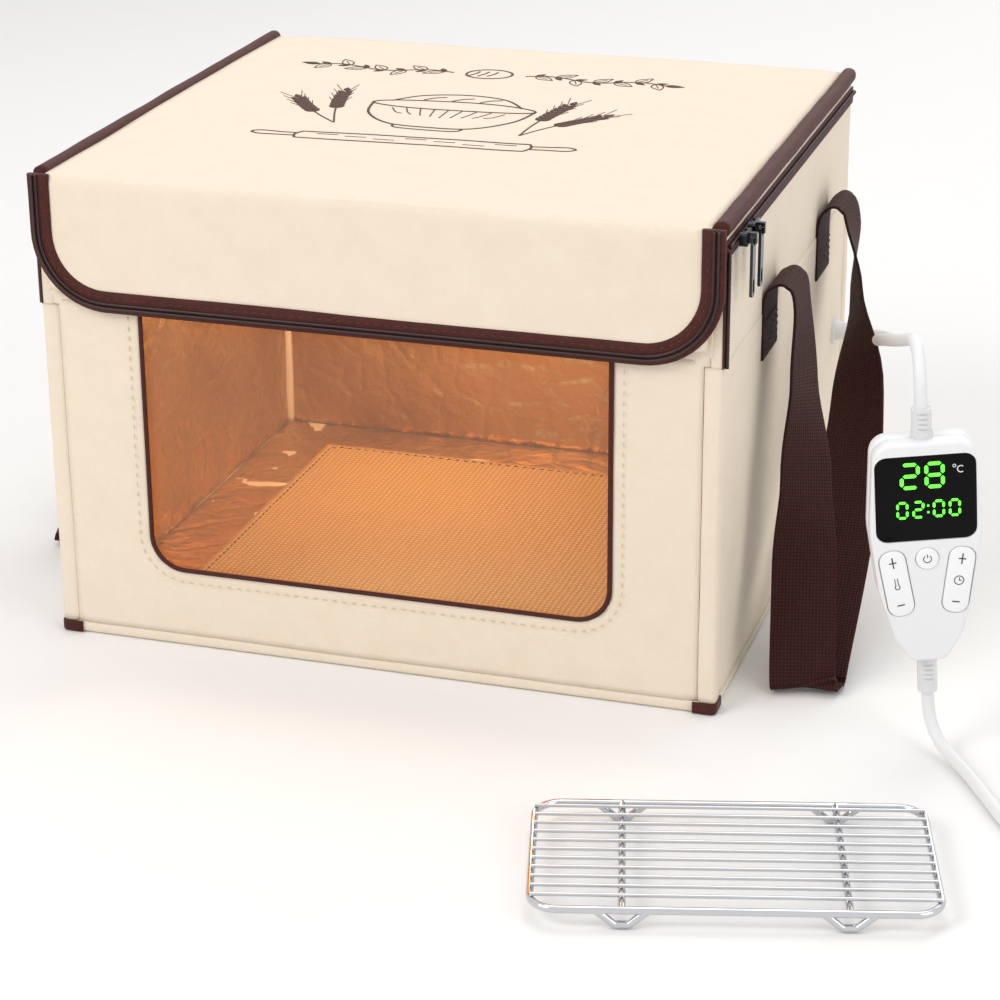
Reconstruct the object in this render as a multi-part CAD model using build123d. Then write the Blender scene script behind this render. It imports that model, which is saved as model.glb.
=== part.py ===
from build123d import *
import os
from math import cos, pi, radians, sin, tan

# Folding heated cabinet for dough. Millimetres, +Z up, +X right, +Y back.
# The origin is the centre of the base's underside; the front faces -Y.

# ---- driving dimensions ----
WIDTH = 400.0          # over the side walls
DEPTH = 360.0          # over the front and back walls
HEIGHT = 286.0         # floor to the lid's top
WALL = 6.0             # padded wall
LINER = 0.8            # foil on the inner faces
FLAP_DROP = 80.0       # front flap below the lid's top
LID_THICK = 8.0
GAP = 0.4              # clearance between bodies that fold
SKIN_GAP = 0.15        # clearance between pieces of one body
BASE_COVER = 2.0
BASE_THICK = 7.0
SLEEVE = 10.5          # soft corner sleeve, along the wall
SLEEVE_PROUD = 0.8
CAP_LEG = 15.0         # corner caps under the walls
CAP_THICK = 1.4
CAP_HIGH = 7.0
WINDOW_WIDTH = 280.0
WINDOW_BOTTOM = 48.0
WINDOW_RADIUS = 21.0
WINDOW_HEM = 6.0
FILM = 0.6
BAND = 13.0            # brown binding round the flap
FLAP_THICK = 4.6
FLAP_RADIUS = 45.0
FLAP_CLEAR = 0.7
LID_ROLL = 9.0         # brown roll along the lid's sides
TAPE_WIDE = 11.0       # zipper tape on the box
TAPE_THICK = 0.8
COIL_DIA = 2.6
MAT_WIDTH = 300.0
MAT_DEPTH = 260.0
MAT_SHEET = 1.3
MAT_HEM = 7.0
WIRE_DIA = 1.8
WIRE_ROWS = 9
WIRE_SIDE = 40.0       # from the mat's side to the wire's turns
WIRE_END = 30.0        # from the mat's ends to the outer rows
SENSOR_DIA = 4.4
SENSOR_Y = (40.0, 66.0)
STRAP_WIDE = 38.0
STRAP_THICK = 1.6
STRAP_SPAN = 154.0     # between the two sewn ends
STRAP_Y = 13.0         # middle of that span
STRAP_LOW = 178.0      # sewn ends, above the floor
STRAP_HIGH = 214.0
SLIDER_LONG = 14.0
SLIDER_THICK = 4.0
PULL_LONG = 30.0
PULL_WIDE = 7.0
PULL_THICK = 1.6
CORD_DIA = 7.0
GLAND_Y = 140.0
GLAND_Z = 124.0
GLAND_LONG = 11.0
HANDSET_WIDE = 60.0
HANDSET_HIGH = 126.0
HANDSET_DEEP = 22.0
HANDSET_AT = (314.0, -185.0, 119.5)
HANDSET_TURN = 17.6    # degrees about Z
HANDSET_LEAN = 4.0     # its lower end stands out to the side
SHELL = 2.0
FIT = 0.3              # button clearance
RELIEF_TOP = 16.0
RELIEF_LOW = 22.0
RELIEF_SLOTS = 4
RACK_LONG = 205.0
RACK_DEEP = 112.0
RACK_FRAME_DIA = 4.0
RACK_WIRE_DIA = 2.0
RACK_WIRES = 11
RACK_FOOT = 8.0
RACK_AT = (250.0, -350.0)
RACK_TURN = 15.0
COIL_TURNS = 3         # loops in each of two layers
COIL_RADIUS = 47.0
COIL_PITCH = 8.5
COIL_STEP = 8.1        # from one layer to the next
COIL_TAIL = 26.0
COIL_AT = (484.0, -262.0)
PLUG_LONG = 38.0
PLUG_WIDE = 26.0
PLUG_HIGH = 17.0

# ---- worked out from them ----
HALF_W = WIDTH / 2
HALF_D = DEPTH / 2
BAND_LOW = HEIGHT - FLAP_DROP
HINGE_LOW = BASE_THICK + GAP
HINGE_TOP = BAND_LOW - GAP
CREASE = (HINGE_LOW + HINGE_TOP) / 2
CORD_R = CORD_DIA / 2
os.makedirs("parts", exist_ok=True)


def save(shape, node):
    """Write one node, which holds one solid or a group of separate solids."""
    export_step(shape, f"parts/{node}.step")


def block(x0, x1, y0, y1, z0, z1):
    """A box between two corners."""
    size = Box(x1 - x0, y1 - y0, z1 - z0)
    return Pos((x0 + x1) / 2, (y0 + y1) / 2, (z0 + z1) / 2) * size


def rod(start, end, dia):
    """A round bar from one point to another."""
    line = Line(start, end)
    plane = Plane(origin=start, z_dir=line % 0)
    return extrude(plane * Circle(dia / 2), line.length)


def tube(path, dia):
    """A round section along a smooth path."""
    return sweep(Plane(origin=path @ 0, z_dir=path % 0) * Circle(dia / 2), path=path)


def plate_xz(outline, y_front, thick):
    """Extrude a face drawn in X and Z backwards from y_front."""
    plane = Plane(origin=(0, y_front, 0), x_dir=(1, 0, 0), z_dir=(0, -1, 0))
    return extrude(plane * outline, -thick)


# ---- base ----
def make_base():
    inner_w = HALF_W - WALL - GAP
    inner_d = HALF_D - WALL - GAP
    cover = block(-HALF_W, HALF_W, -HALF_D, HALF_D, 0, BASE_COVER)
    board_top = BASE_THICK - LINER - SKIN_GAP
    board = block(-inner_w, inner_w, -inner_d, inner_d, BASE_COVER + SKIN_GAP, board_top)
    edge = block(-HALF_W, HALF_W, -HALF_D, HALF_D, BASE_COVER, BASE_THICK)
    edge -= block(-inner_w - GAP, inner_w + GAP, -inner_d - GAP, inner_d + GAP, BASE_COVER, BASE_THICK)
    save(cover + edge, "base_cover")
    save(board, "base_board")
    save(block(-inner_w, inner_w, -inner_d, inner_d, BASE_THICK - LINER, BASE_THICK), "base_liner")
    caps = []
    for sx in (-1, 1):
        for sy in (-1, 1):
            outer = Box(CAP_LEG, CAP_LEG, CAP_HIGH)
            x = sx * (HALF_W + CAP_THICK - CAP_LEG / 2)
            y = sy * (HALF_D + CAP_THICK - CAP_LEG / 2)
            cap = Pos(x, y, CAP_HIGH / 2) * outer
            cap = fillet(cap.edges().filter_by(Axis.Z).sort_by_distance((x * 2, y * 2, 0))[0], 3.0)
            cap -= block(-HALF_W - 0.1, HALF_W + 0.1, -HALF_D - 0.1, HALF_D + 0.1, -1, HEIGHT)
            caps.append(cap)
    save(Compound(caps), "corner_caps")


def make_mat():
    """Heating mat: two sewn sheets with a resistance wire laid to and fro between them."""
    half_w = MAT_WIDTH / 2
    half_d = MAT_DEPTH / 2
    z0 = BASE_THICK + SKIN_GAP
    z1 = z0 + MAT_SHEET
    z2 = z1 + WIRE_DIA + 2 * SKIN_GAP
    backing = block(-half_w, half_w, -half_d, half_d, z0, z1)
    top = block(-half_w, half_w, -half_d, half_d, z1 + SKIN_GAP, z2 + MAT_SHEET)
    inner_w = half_w - MAT_HEM
    inner_d = half_d - MAT_HEM
    top -= block(-inner_w, inner_w, -inner_d, inner_d, z1, z2)
    save(Compound([backing, top]), "mat_sheets")
    row_gap = (MAT_DEPTH - 2 * WIRE_END) / (WIRE_ROWS - 1)
    reach = half_w - WIRE_SIDE
    z = z1 + SKIN_GAP + WIRE_DIA / 2
    y = -row_gap * (WIRE_ROWS - 1) / 2
    side = -1
    edges = []
    for row in range(WIRE_ROWS):
        edges.append(Line((side * reach, y, z), (-side * reach, y, z)))
        side = -side
        if row < WIRE_ROWS - 1:
            bulge = side * (reach + row_gap / 2)
            ends = (side * reach, y, z), (side * reach, y + row_gap, z)
            edges.append(ThreePointArc(ends[0], (bulge, y + row_gap / 2, z), ends[1]))
        y += row_gap
    path = Wire(edges)
    save(tube(path, WIRE_DIA), "heating_wire")
    x = half_w + 8
    z = z0 + SENSOR_DIA / 2 + 2 * SKIN_GAP
    save(rod((x, SENSOR_Y[0], z), (x, SENSOR_Y[1], z), SENSOR_DIA), "temp_sensor")


# ---- walls: each is two halves that fold inwards at a crease ----
HALVES = (("lower", HINGE_LOW + GAP / 2, CREASE - GAP), ("upper", CREASE + GAP, HINGE_TOP - GAP / 2))


def make_side_walls():
    reach = HALF_D - SLEEVE
    inner = HALF_W - WALL
    for side, sx in (("left", -1), ("right", 1)):
        for half, z0, z1 in HALVES:
            xs = sorted((sx * (inner + LINER + SKIN_GAP), sx * HALF_W))
            panel = block(xs[0], xs[1], -reach, reach, z0, z1)
            xs = sorted((sx * inner, sx * (inner + LINER)))
            liner = block(xs[0], xs[1], -reach, reach, z0, z1)
            save(panel, f"{side}_{half}_panel")
            save(liner, f"{side}_{half}_liner")
            sleeves = []
            for sy in (-1, 1):
                ys = sorted((sy * (reach + SKIN_GAP), sy * HALF_D))
                xs = sorted((sx * inner, sx * (HALF_W + SLEEVE_PROUD)))
                sleeve = block(xs[0], xs[1], ys[0], ys[1], z0, z1)
                edge = sleeve.edges().filter_by(Axis.Z).sort_by_distance((sx * WIDTH, sy * DEPTH, z0))[0]
                sleeves.append(fillet(edge, 3.5))
            save(Compound(sleeves), f"{side}_{half}_sleeves")


WINDOW_TOP = HINGE_TOP - 2.2


def window_face(inset):
    """Window in X and Z: rounded below, straight where it goes under the flap's binding."""
    high = HINGE_TOP + 2 * WINDOW_RADIUS - WINDOW_BOTTOM
    shape = RectangleRounded(WINDOW_WIDTH - 2 * inset, high - inset, WINDOW_RADIUS)
    shape = Pos(0, WINDOW_BOTTOM + inset + (high - inset) / 2) * shape
    spare = HINGE_TOP + 3 * WINDOW_RADIUS - WINDOW_TOP
    return shape - Pos(0, WINDOW_TOP + spare / 2) * Rectangle(WINDOW_WIDTH * 2, spare)


def make_front_and_back():
    reach = HALF_W - WALL - GAP
    hole = plate_xz(window_face(0), -HALF_D - 1, WALL + 2)
    film = plate_xz(window_face(-WINDOW_HEM), -HALF_D + WALL / 2, FILM)
    room = plate_xz(window_face(-WINDOW_HEM - 0.5), -HALF_D + WALL / 2 - SKIN_GAP, FILM + 2 * SKIN_GAP)
    for half, z0, z1 in HALVES:
        panel = block(-reach, reach, -HALF_D, -HALF_D + WALL, z0, z1)
        panel = panel - hole - room
        save(panel, f"front_{half}_panel")
        part = film & block(-reach + 1, reach - 1, -HALF_D, -HALF_D + WALL, z0 + 0.1, z1 - 0.1)
        save(part, f"window_{half}_film")
        face = HALF_D - WALL + LINER
        save(block(-reach, reach, face + SKIN_GAP, HALF_D, z0, z1), f"back_{half}_panel")
        save(block(-reach, reach, HALF_D - WALL, face, z0, z1), f"back_{half}_liner")


# ---- upper band that stays upright, with the lower half of the zipper ----
BAND_TOP = HEIGHT - LID_THICK - GAP
TAPE_TOP = BAND_TOP - 0.8
COIL_Z = TAPE_TOP - 3.2
COIL_X = HALF_W + TAPE_THICK + COIL_DIA / 2 + SKIN_GAP


def make_top_band():
    outer = block(-HALF_W, HALF_W, -HALF_D, HALF_D, BAND_LOW, BAND_TOP)
    inner_w = HALF_W - WALL
    band = outer - block(-inner_w, inner_w, -HALF_D - 1, HALF_D - WALL, BAND_LOW - 1, BAND_TOP + 1)
    band = fillet(band.edges().filter_by(Axis.Z).group_by(Axis.Y)[-1], 3.0)
    save(band, "top_band")
    rim = block(-inner_w + SKIN_GAP, inner_w - SKIN_GAP, -HALF_D, -HALF_D + WALL, BAND_LOW, BAND_LOW + 9)
    save(rim, "front_rim")
    tapes = []
    coils = []
    for sx in (-1, 1):
        xs = sorted((sx * (HALF_W + SKIN_GAP / 2), sx * (HALF_W + SKIN_GAP / 2 + TAPE_THICK)))
        tapes.append(block(xs[0], xs[1], -HALF_D, HALF_D - 4, TAPE_TOP - TAPE_WIDE, TAPE_TOP))
        tapes.append(block(xs[0], xs[1], -HALF_D, -HALF_D + TAPE_WIDE, BAND_LOW, TAPE_TOP - TAPE_WIDE - 0.2))
        x = sx * (COIL_X + SKIN_GAP / 2)
        coils.append(rod((x, -HALF_D + 4, COIL_Z), (x, HALF_D - 6, COIL_Z), COIL_DIA))
        coils.append(rod((x, -HALF_D + 3, BAND_LOW), (x, -HALF_D + 3, COIL_Z - 2.5), COIL_DIA))
    save(Compound(tapes), "zipper_tapes")
    save(Compound(coils), "zipper_coils")


# ---- lid and flap ----
def make_lid():
    roll_in = HALF_W + 2 - LID_ROLL
    low = HEIGHT - LID_THICK
    panel = block(-roll_in + 0.3, roll_in - 0.3, -HALF_D, HALF_D, low + LINER + SKIN_GAP, HEIGHT)
    panel = fillet(panel.edges().filter_by(Axis.X).group_by(Axis.Z)[-1], 2.0)
    save(panel, "lid_panel")
    save(block(-roll_in + 0.3, roll_in - 0.3, -HALF_D, HALF_D, low, low + LINER), "lid_liner")
    rolls = []
    for sx in (-1, 1):
        xs = sorted((sx * roll_in, sx * (roll_in + LID_ROLL)))
        roll = block(xs[0], xs[1], -HALF_D, HALF_D, low, HEIGHT + 1.2)
        rolls.append(fillet(roll.edges().filter_by(Axis.Y), 3.4))
    save(Compound(rolls), "lid_binding")


def flap_face(inset):
    """Flap outline in X and Z: square at the top seam, rounded at the lower corners."""
    half = HALF_W + 2 - inset
    low = BAND_LOW + inset
    high = HEIGHT - 1.0
    radius = FLAP_RADIUS - inset
    line = Polyline((-half, high), (-half, low), (half, low), (half, high), close=True)
    face = make_face(line)
    corners = face.vertices().sort_by(Axis.Y)[:2]
    return fillet(corners, radius)


FLAP_BACK = -HALF_D - FLAP_CLEAR


def make_flap():
    panel = plate_xz(flap_face(BAND + SKIN_GAP), FLAP_BACK - FLAP_THICK, FLAP_THICK)
    save(panel, "flap_panel")
    ring = flap_face(0) - flap_face(BAND)
    ring = plate_xz(ring, FLAP_BACK - FLAP_THICK - 1.0, FLAP_THICK + 1.2)
    save(ring, "flap_binding")


# ---- zipper sliders with their pulls ----
PULL_DROP = 3.0
SLIDER_X = COIL_X + COIL_DIA / 2 + 0.5
SLIDERS = (("right_rear", 1, -HALF_D + 44), ("right_front", 1, -HALF_D + 24), ("left", -1, -HALF_D + 16))


def pull_slot(high, wide):
    """A long rounded hole through a pull, lying along X once it is turned."""
    return extrude(SlotOverall(high, wide), 4, both=True)


def make_sliders():
    for name, sx, y in SLIDERS:
        x0 = SLIDER_X
        body = block(x0, x0 + SLIDER_THICK, y - SLIDER_LONG / 2, y + SLIDER_LONG / 2, COIL_Z - 4, COIL_Z + 4)
        body = fillet(body.edges().filter_by(Axis.X), 2.5)
        body -= block(x0 + 1.4, x0 + SLIDER_THICK - 1.4, y - 1.6 - FIT, y + 1.6 + FIT, COIL_Z - 9, COIL_Z + 9)
        pin_x = x0 + SLIDER_THICK + 2.2
        bail = block(x0 + SLIDER_THICK, pin_x + 2.2, y - 1.4, y + 1.4, COIL_Z - 3, COIL_Z + 3)
        bail -= Pos(pin_x, y, COIL_Z) * Rot(90, 0, 0) * Cylinder(1.4, 9)
        pull = block(pin_x - PULL_THICK / 2, pin_x + PULL_THICK / 2, y - PULL_WIDE / 2, y + PULL_WIDE / 2,
                     COIL_Z - PULL_DROP - PULL_LONG, COIL_Z + 1.0)
        pull = fillet(pull.edges().filter_by(Axis.X), 2.0)
        pull -= block(pin_x - 3, pin_x + 3, y - 1.4 - FIT, y + 1.4 + FIT, COIL_Z - 4.4, COIL_Z + 9)
        hole_z = COIL_Z - PULL_DROP - PULL_LONG + 6
        pull -= Pos(pin_x, y, hole_z) * Rot(0, 90, 0) * pull_slot(8.0, 3.4)
        pull += Pos(pin_x, y, COIL_Z) * Rot(90, 0, 0) * Cylinder(0.9, 5.0)
        if sx < 0:
            body, bail, pull = (mirror(piece, about=Plane.YZ) for piece in (body, bail, pull))
        save(body + bail, f"{name}_slider")
        save(pull, f"{name}_pull")


# ---- carrying straps ----
def strap_stations(out, lean):
    """Stations of one strap: place and the turn of its width about Z, 90 along the wall.

    out is how far the loop stands off the wall, lean how far forward its lower end lies."""
    front = STRAP_Y - STRAP_SPAN / 2
    back = STRAP_Y + STRAP_SPAN / 2
    x = HALF_W + STRAP_THICK / 2 + 0.5
    floor = STRAP_THICK / 2 + 0.6
    bottom = front - lean + 23
    rise = back - bottom
    return [
        ((x, front, STRAP_LOW), 90),
        ((x, front, STRAP_HIGH), 90),
        ((x + 0.14 * out, front, STRAP_HIGH + 9), 90),
        ((x + 0.3 * out, front, STRAP_HIGH + 9), 90),
        ((x + 0.42 * out, front - 0.02 * lean, STRAP_HIGH - 2), 90),
        ((x + 0.52 * out, front - 0.12 * lean, 165), 80),
        ((x + 0.68 * out, front - 0.38 * lean, 112), 55),
        ((x + 0.8 * out, front - 0.68 * lean, 62), 25),
        ((x + 0.92 * out, front - 0.98 * lean, 14), 17),
        ((x + 0.95 * out, front - lean, 5), 16),
        ((x + 0.97 * out, front - lean + 6, floor), 16),
        ((x + out, front - lean + 14, 3.4), 16),
        ((x + out, bottom, 12), 12),
        ((x + 0.96 * out, bottom + 0.37 * rise, 60), 0),
        ((x + 0.8 * out, bottom + 0.73 * rise, 118), -35),
        ((x + 0.58 * out, bottom + 0.91 * rise, 172), -70),
        ((x + 0.42 * out, back - 0.01 * rise, STRAP_HIGH), -90),
        ((x + 0.3 * out, back, STRAP_HIGH + 11), -90),
        ((x + 0.14 * out, back, STRAP_HIGH + 11), -90),
        ((x, back, STRAP_HIGH), -90),
        ((x, back, STRAP_LOW), -90),
    ]


def make_strap(name, sx, out, lean):
    """A flat webbing band through its stations, sewn to the wall at both ends."""
    stations = strap_stations(out, lean)
    rects = []
    places = [Vector(sx * x, y, z) for (x, y, z), turn in stations]
    for i, (at, turn) in enumerate(stations):
        along = (places[min(i + 1, len(places) - 1)] - places[max(i - 1, 0)]).normalized()
        width = Vector(sx * cos(radians(turn)), sin(radians(turn)), 0)
        width = (width - along * width.dot(along)).normalized()
        plane = Plane(origin=places[i], x_dir=width, z_dir=along)
        rects.append(plane * Rectangle(STRAP_WIDE, STRAP_THICK))
    save(loft(rects, ruled=True), name)


# ---- lead and its coil ----
def cord_path(points):
    """Straight runs joined by arcs as large as the runs allow; prints the least radius."""
    radii = []
    for i in range(1, len(points) - 1):
        a = Vector(*points[i]) - Vector(*points[i - 1])
        b = Vector(*points[i + 1]) - Vector(*points[i])
        radii.append(0.45 * min(a.length, b.length) / tan(radians(a.get_angle(b)) / 2))
    print("cord radii", [round(r) for r in radii])
    return FilletPolyline(*points, radius=radii)


def handset_place():
    return Pos(*HANDSET_AT) * Rot(0, 0, HANDSET_TURN) * Rot(0, -HANDSET_LEAN, 0)


def handset_point(x, y, z):
    """A point of the handset's own frame, in the object's frame."""
    return tuple((handset_place() * Pos(x, y, z)).position)


TOP_END = HANDSET_HIGH / 2 + RELIEF_TOP
LOW_END = -HANDSET_HIGH / 2 - RELIEF_LOW
GLAND_OUT = HALF_W + GLAND_LONG
FOOT = CORD_R + 0.1
COIL_START = (COIL_AT[0] - CORD_DIA, COIL_AT[1] - COIL_RADIUS, FOOT)
UPPER_CORD = [
    (GLAND_OUT, GLAND_Y, GLAND_Z),
    (GLAND_OUT + 12, GLAND_Y, GLAND_Z),
    (234.2, 135.2, 124.8),
    (241.8, 125.6, 126.8),
    (244.4, 113.6, 130.0),
    (244.5, 91.0, 137.5),
    (246.0, 50.0, 151.0),
    (253.0, 0.0, 168.5),
    (264.0, -52.0, 187.0),
    (279.6, -105.4, 205.7),
    (291.4, -139.3, 218.3),
    (298.4, -159.4, 226.3),
    (302.5, -171.0, 227.2),
    (306.0, -180.8, 220.4),
    handset_point(0, 0, TOP_END + 11),
    handset_point(0, 0, TOP_END),
]
LOWER_CORD = [
    handset_point(0, 0, LOW_END),
    handset_point(0, 0, LOW_END - 11),
    (323.8, -186.5, 13.9),
    (329.9, -193.0, 7.4),
    (337.9, -201.2, 4.4),
    (349.0, -217.0, FOOT),
    (361.0, -238.0, FOOT),
    (374.0, -262.0, FOOT),
    (393.0, -287.0, FOOT),
    (420.0, -304.0, FOOT),
    (452.0, COIL_START[1], FOOT),
    COIL_START,
]


def make_cords():
    save(tube(cord_path(UPPER_CORD), CORD_DIA), "cord_upper")
    save(tube(cord_path(LOWER_CORD), CORD_DIA), "cord_lower")


def biarc(p0, t0, p1, t1):
    """Two arcs that leave p0 along t0, arrive at p1 along t1 and meet smoothly."""
    v = p1 - p0
    t = t0 + t1
    a = 2 * (1 - t0.dot(t1))
    b = v.dot(t)
    c = v.dot(v)
    d = (-b + (b * b + a * c) ** 0.5) / a
    middle = (p0 + t0 * d + p1 - t1 * d) * 0.5
    return TangentArc(p0, middle, tangent=t0), TangentArc(p1, middle, tangent=-t1)


def coil_station(quarter):
    """Place and direction on the coil: in on the lower layer, up a layer, out on the upper one."""
    turns_in = COIL_TURNS * 4
    angle = -pi / 2 + quarter * pi / 2
    step = COIL_PITCH / (2 * pi)
    inner = COIL_RADIUS - COIL_PITCH * COIL_TURNS
    if quarter <= turns_in:
        radius = COIL_RADIUS - COIL_PITCH * quarter / 4
        slope = -step
        z = 0.0
        climb = 0.0
    elif quarter < turns_in + 2:
        radius = inner
        slope = 0.0
        z = COIL_STEP / 2
        climb = COIL_STEP / pi
    else:
        radius = inner + COIL_PITCH * (quarter - turns_in - 2) / 4
        slope = step
        z = COIL_STEP
        climb = 0.0
    if quarter in (0, turns_in, turns_in + 2, 2 * turns_in + 2):
        slope = 0.0
    out = Vector(cos(angle), sin(angle), 0)
    on = Vector(-sin(angle), cos(angle), 0)
    place = Vector(COIL_AT[0], COIL_AT[1], FOOT + z) + out * radius
    return place, (on * radius + out * slope + Vector(0, 0, climb)).normalized()


def make_coil():
    quarters = COIL_TURNS * 8 + 2
    first_point = coil_station(0)[0]
    edges = [Line(COIL_START, first_point)]
    for quarter in range(quarters):
        p0, t0 = coil_station(quarter)
        p1, t1 = coil_station(quarter + 1)
        first, second = biarc(p0, t0, p1, t1)
        edges += [first, Edge.make_three_point_arc(second @ 1, second @ 0.5, second @ 0)]
    last, onward = coil_station(quarters)
    edges.append(Line(last, last + onward * COIL_TAIL))
    path = Wire(edges)
    coil = tube(path, CORD_DIA)
    length = path.length
    print("coil length", round(length), "volume ratio", round(coil.volume / (pi * CORD_R**2 * length), 3))
    count = 700
    points = [path @ (i / count) for i in range(count + 1)]
    apart = int(count * 1.3 * CORD_DIA * pi / length)
    least = min((points[i] - points[j]).length for i in range(count) for j in range(i + apart, count))
    print("coil's least gap to itself", round(least - CORD_DIA, 2))
    save(coil, "cord_coil")
    end = path @ 1
    direction = path % 1
    plug_plane = Plane(origin=end, x_dir=direction.cross(Vector(0, 0, 1)), z_dir=direction)
    neck = extrude(plug_plane * Circle(CORD_R + 1.8), 14)
    sections = []
    for along, wide, high in ((14, 16, 13), (24, PLUG_WIDE, PLUG_HIGH), (14 + PLUG_LONG, PLUG_WIDE, PLUG_HIGH)):
        sections.append(plug_plane.offset(along) * RectangleRounded(wide, high, 4))
    save(neck + loft(sections, ruled=True), "plug_body")
    pins = []
    for dx in (-6.3, 6.3):
        pin = Pos(dx, 0, 14 + PLUG_LONG + 9) * Box(1.6, 6.4, 18)
        pins.append(plug_plane.location * pin)
    save(Compound(pins), "plug_pins")


def make_gland():
    place = Pos(HALF_W + SKIN_GAP, GLAND_Y, GLAND_Z) * Rot(0, 90, 0)
    flange = Pos(0, 0, 1.25) * Cylinder(9.0, 2.5)
    sleeve = Pos(0, 0, (GLAND_LONG - SKIN_GAP) / 2) * Cone(7.0, 5.2, GLAND_LONG - SKIN_GAP)
    save(place * (flange + sleeve), "lead_gland")


# ---- handset ----
OUTLINE = ((-27, 64), (27, 64), (30, 14), (25, -22), (11, -64), (-11, -64), (-25, -22), (-30, 14))
OUTLINE_FILLETS = ((12, 0, 1), (60, 2, 7), (40, 3, 6), (8, 4, 5))


def handset_face(inset):
    """Shield outline in X and Z: wide at the display, narrow at the lower end."""
    wide = HANDSET_WIDE / 60
    high = HANDSET_HIGH / 128
    points = [(x * wide, z * high) for x, z in OUTLINE]
    face = make_face(Polyline(*points, close=True))
    for radius, *corners in OUTLINE_FILLETS:
        for i in corners:
            near = face.vertices().sort_by_distance((points[i][0], points[i][1], 0))[0]
            face = fillet(near, radius * 0.8)
    if inset:
        face = offset(face, -inset)
    return face


DISPLAY_WIDE = 53.0
DISPLAY_LOW = 8.0
DISPLAY_HIGH = 56.0
ROCKER_X = 16.5
ROCKER_Z = -16.0
ROCKER_WIDE = 14.0
ROCKER_HIGH = 38.0
BUTTON_Z = -2.5
BUTTON_R = 6.2
BUTTON_TRAVEL = 0.8
PROUD = 1.1


def display_face(grow):
    size = RectangleRounded(DISPLAY_WIDE + 2 * grow, DISPLAY_HIGH - DISPLAY_LOW + 2 * grow, 6)
    return Pos(0, (DISPLAY_LOW + DISPLAY_HIGH) / 2) * size


def rocker_face(sx, grow):
    size = RectangleRounded(ROCKER_WIDE + 2 * grow, ROCKER_HIGH + 2 * grow, 6)
    return Pos(sx * ROCKER_X, ROCKER_Z) * Rot(0, 0, -sx * 9) * size


def button_face(grow):
    return Pos(0, BUTTON_Z) * Circle(BUTTON_R + grow)


def make_handset():
    place = handset_place()
    half = HANDSET_DEEP / 2
    front = plate_xz(handset_face(0), -half, half)
    front = chamfer(front.faces().sort_by(Axis.Y)[0].outer_wire().edges(), 1.6)
    front -= plate_xz(handset_face(SHELL), -half + SHELL, half)
    front -= plate_xz(display_face(FIT), -half - 1, SHELL + 2)
    back = plate_xz(handset_face(0), SKIN_GAP, half - SKIN_GAP)
    back = chamfer(back.faces().sort_by(Axis.Y)[-1].outer_wire().edges(), 3.0)
    back -= plate_xz(handset_face(SHELL), 0, half - SHELL)
    for sx in (-1, 1):
        front -= plate_xz(rocker_face(sx, FIT), -half - 1, SHELL + 2)
        rocker = plate_xz(rocker_face(sx, 0), -half - PROUD, SHELL + PROUD)
        name = "temp_rocker" if sx < 0 else "timer_rocker"
        save(place * rocker, name)
    front -= plate_xz(button_face(FIT), -half - 1, SHELL + 2)
    button = plate_xz(button_face(0), -half - PROUD, SHELL + PROUD)
    save(place * button, "power_button")
    save(place * plate_xz(display_face(0), -half + 0.3, SHELL - 0.3), "display_lens")
    board = plate_xz(handset_face(SHELL + 1.2), -2.0, 1.6)
    reliefs = []
    for sz, long in ((-1, RELIEF_LOW), (1, RELIEF_TOP)):
        end = sz * HANDSET_HIGH / 2
        front -= Pos(0, 0, end) * Cylinder(6.2, 14)
        back -= Pos(0, 0, end) * Cylinder(6.2, 14)
        board -= Pos(0, 0, end) * Cylinder(6.2 + FIT, 14)
        boot = Pos(0, 0, end + sz * long / 2) * Cylinder(5.4, long)
        collar = Pos(0, 0, end - sz) * Cylinder(6.0, 9)
        for i in range(RELIEF_SLOTS):
            for sy in (-1, 1):
                boot -= Pos(0, sy * 6.0, end + sz * (5.4 + 2.8 * i)) * Box(8.0, 3.2, 1.2)
        reliefs.append(boot + collar)
    save(place * board, "circuit_board")
    save(place * front, "handset_front")
    save(place * back, "handset_back")
    save(place * Compound(reliefs), "cord_reliefs")


# ---- wire rack ----
def make_rack():
    place = Pos(RACK_AT[0], RACK_AT[1], 0) * Rot(0, 0, RACK_TURN)
    z = RACK_FOOT + RACK_FRAME_DIA / 2
    half_l = RACK_LONG / 2 - RACK_FRAME_DIA / 2
    half_d = RACK_DEEP / 2 - RACK_FRAME_DIA / 2
    corner = 14.0
    ring = Plane.XY.offset(z) * RectangleRounded(2 * half_l, 2 * half_d, corner)
    wire = ring.face().outer_wire()
    frame = sweep(Plane(origin=wire @ 0, z_dir=wire % 0) * Circle(RACK_FRAME_DIA / 2), path=wire)
    for sx in (-1, 1):
        frame += rod((sx * half_l * 0.55, -half_d, z), (sx * half_l * 0.55, half_d, z), RACK_FRAME_DIA)
        for sy in (-1, 1):
            x = sx * half_l * 0.55
            y = sy * half_d
            foot_z = RACK_FRAME_DIA / 2
            feet = [(x - 13, y, z), (x - 3.5, y, foot_z), (x + 3.5, y, foot_z), (x + 13, y, z)]
            path = FilletPolyline(*feet, radius=3.0)
            frame += tube(path, RACK_FRAME_DIA)
    save(place * frame, "rack_frame")
    wires = []
    top = z + RACK_FRAME_DIA / 2 + RACK_WIRE_DIA / 2
    gap = 2 * half_d / (RACK_WIRES + 1)
    for i in range(RACK_WIRES):
        y = -half_d + gap * (i + 1)
        wires.append(place * rod((-half_l, y, top), (half_l, y, top), RACK_WIRE_DIA))
    save(Compound(wires), "rack_wires")


make_base()
make_mat()
make_side_walls()
make_front_and_back()
make_top_band()
make_lid()
make_flap()
make_sliders()
make_strap("right_strap", 1, 44.0, 75.0)
make_strap("left_strap", -1, 44.0, 2.0)
make_cords()
make_coil()
make_gland()
make_handset()
make_rack()
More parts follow.
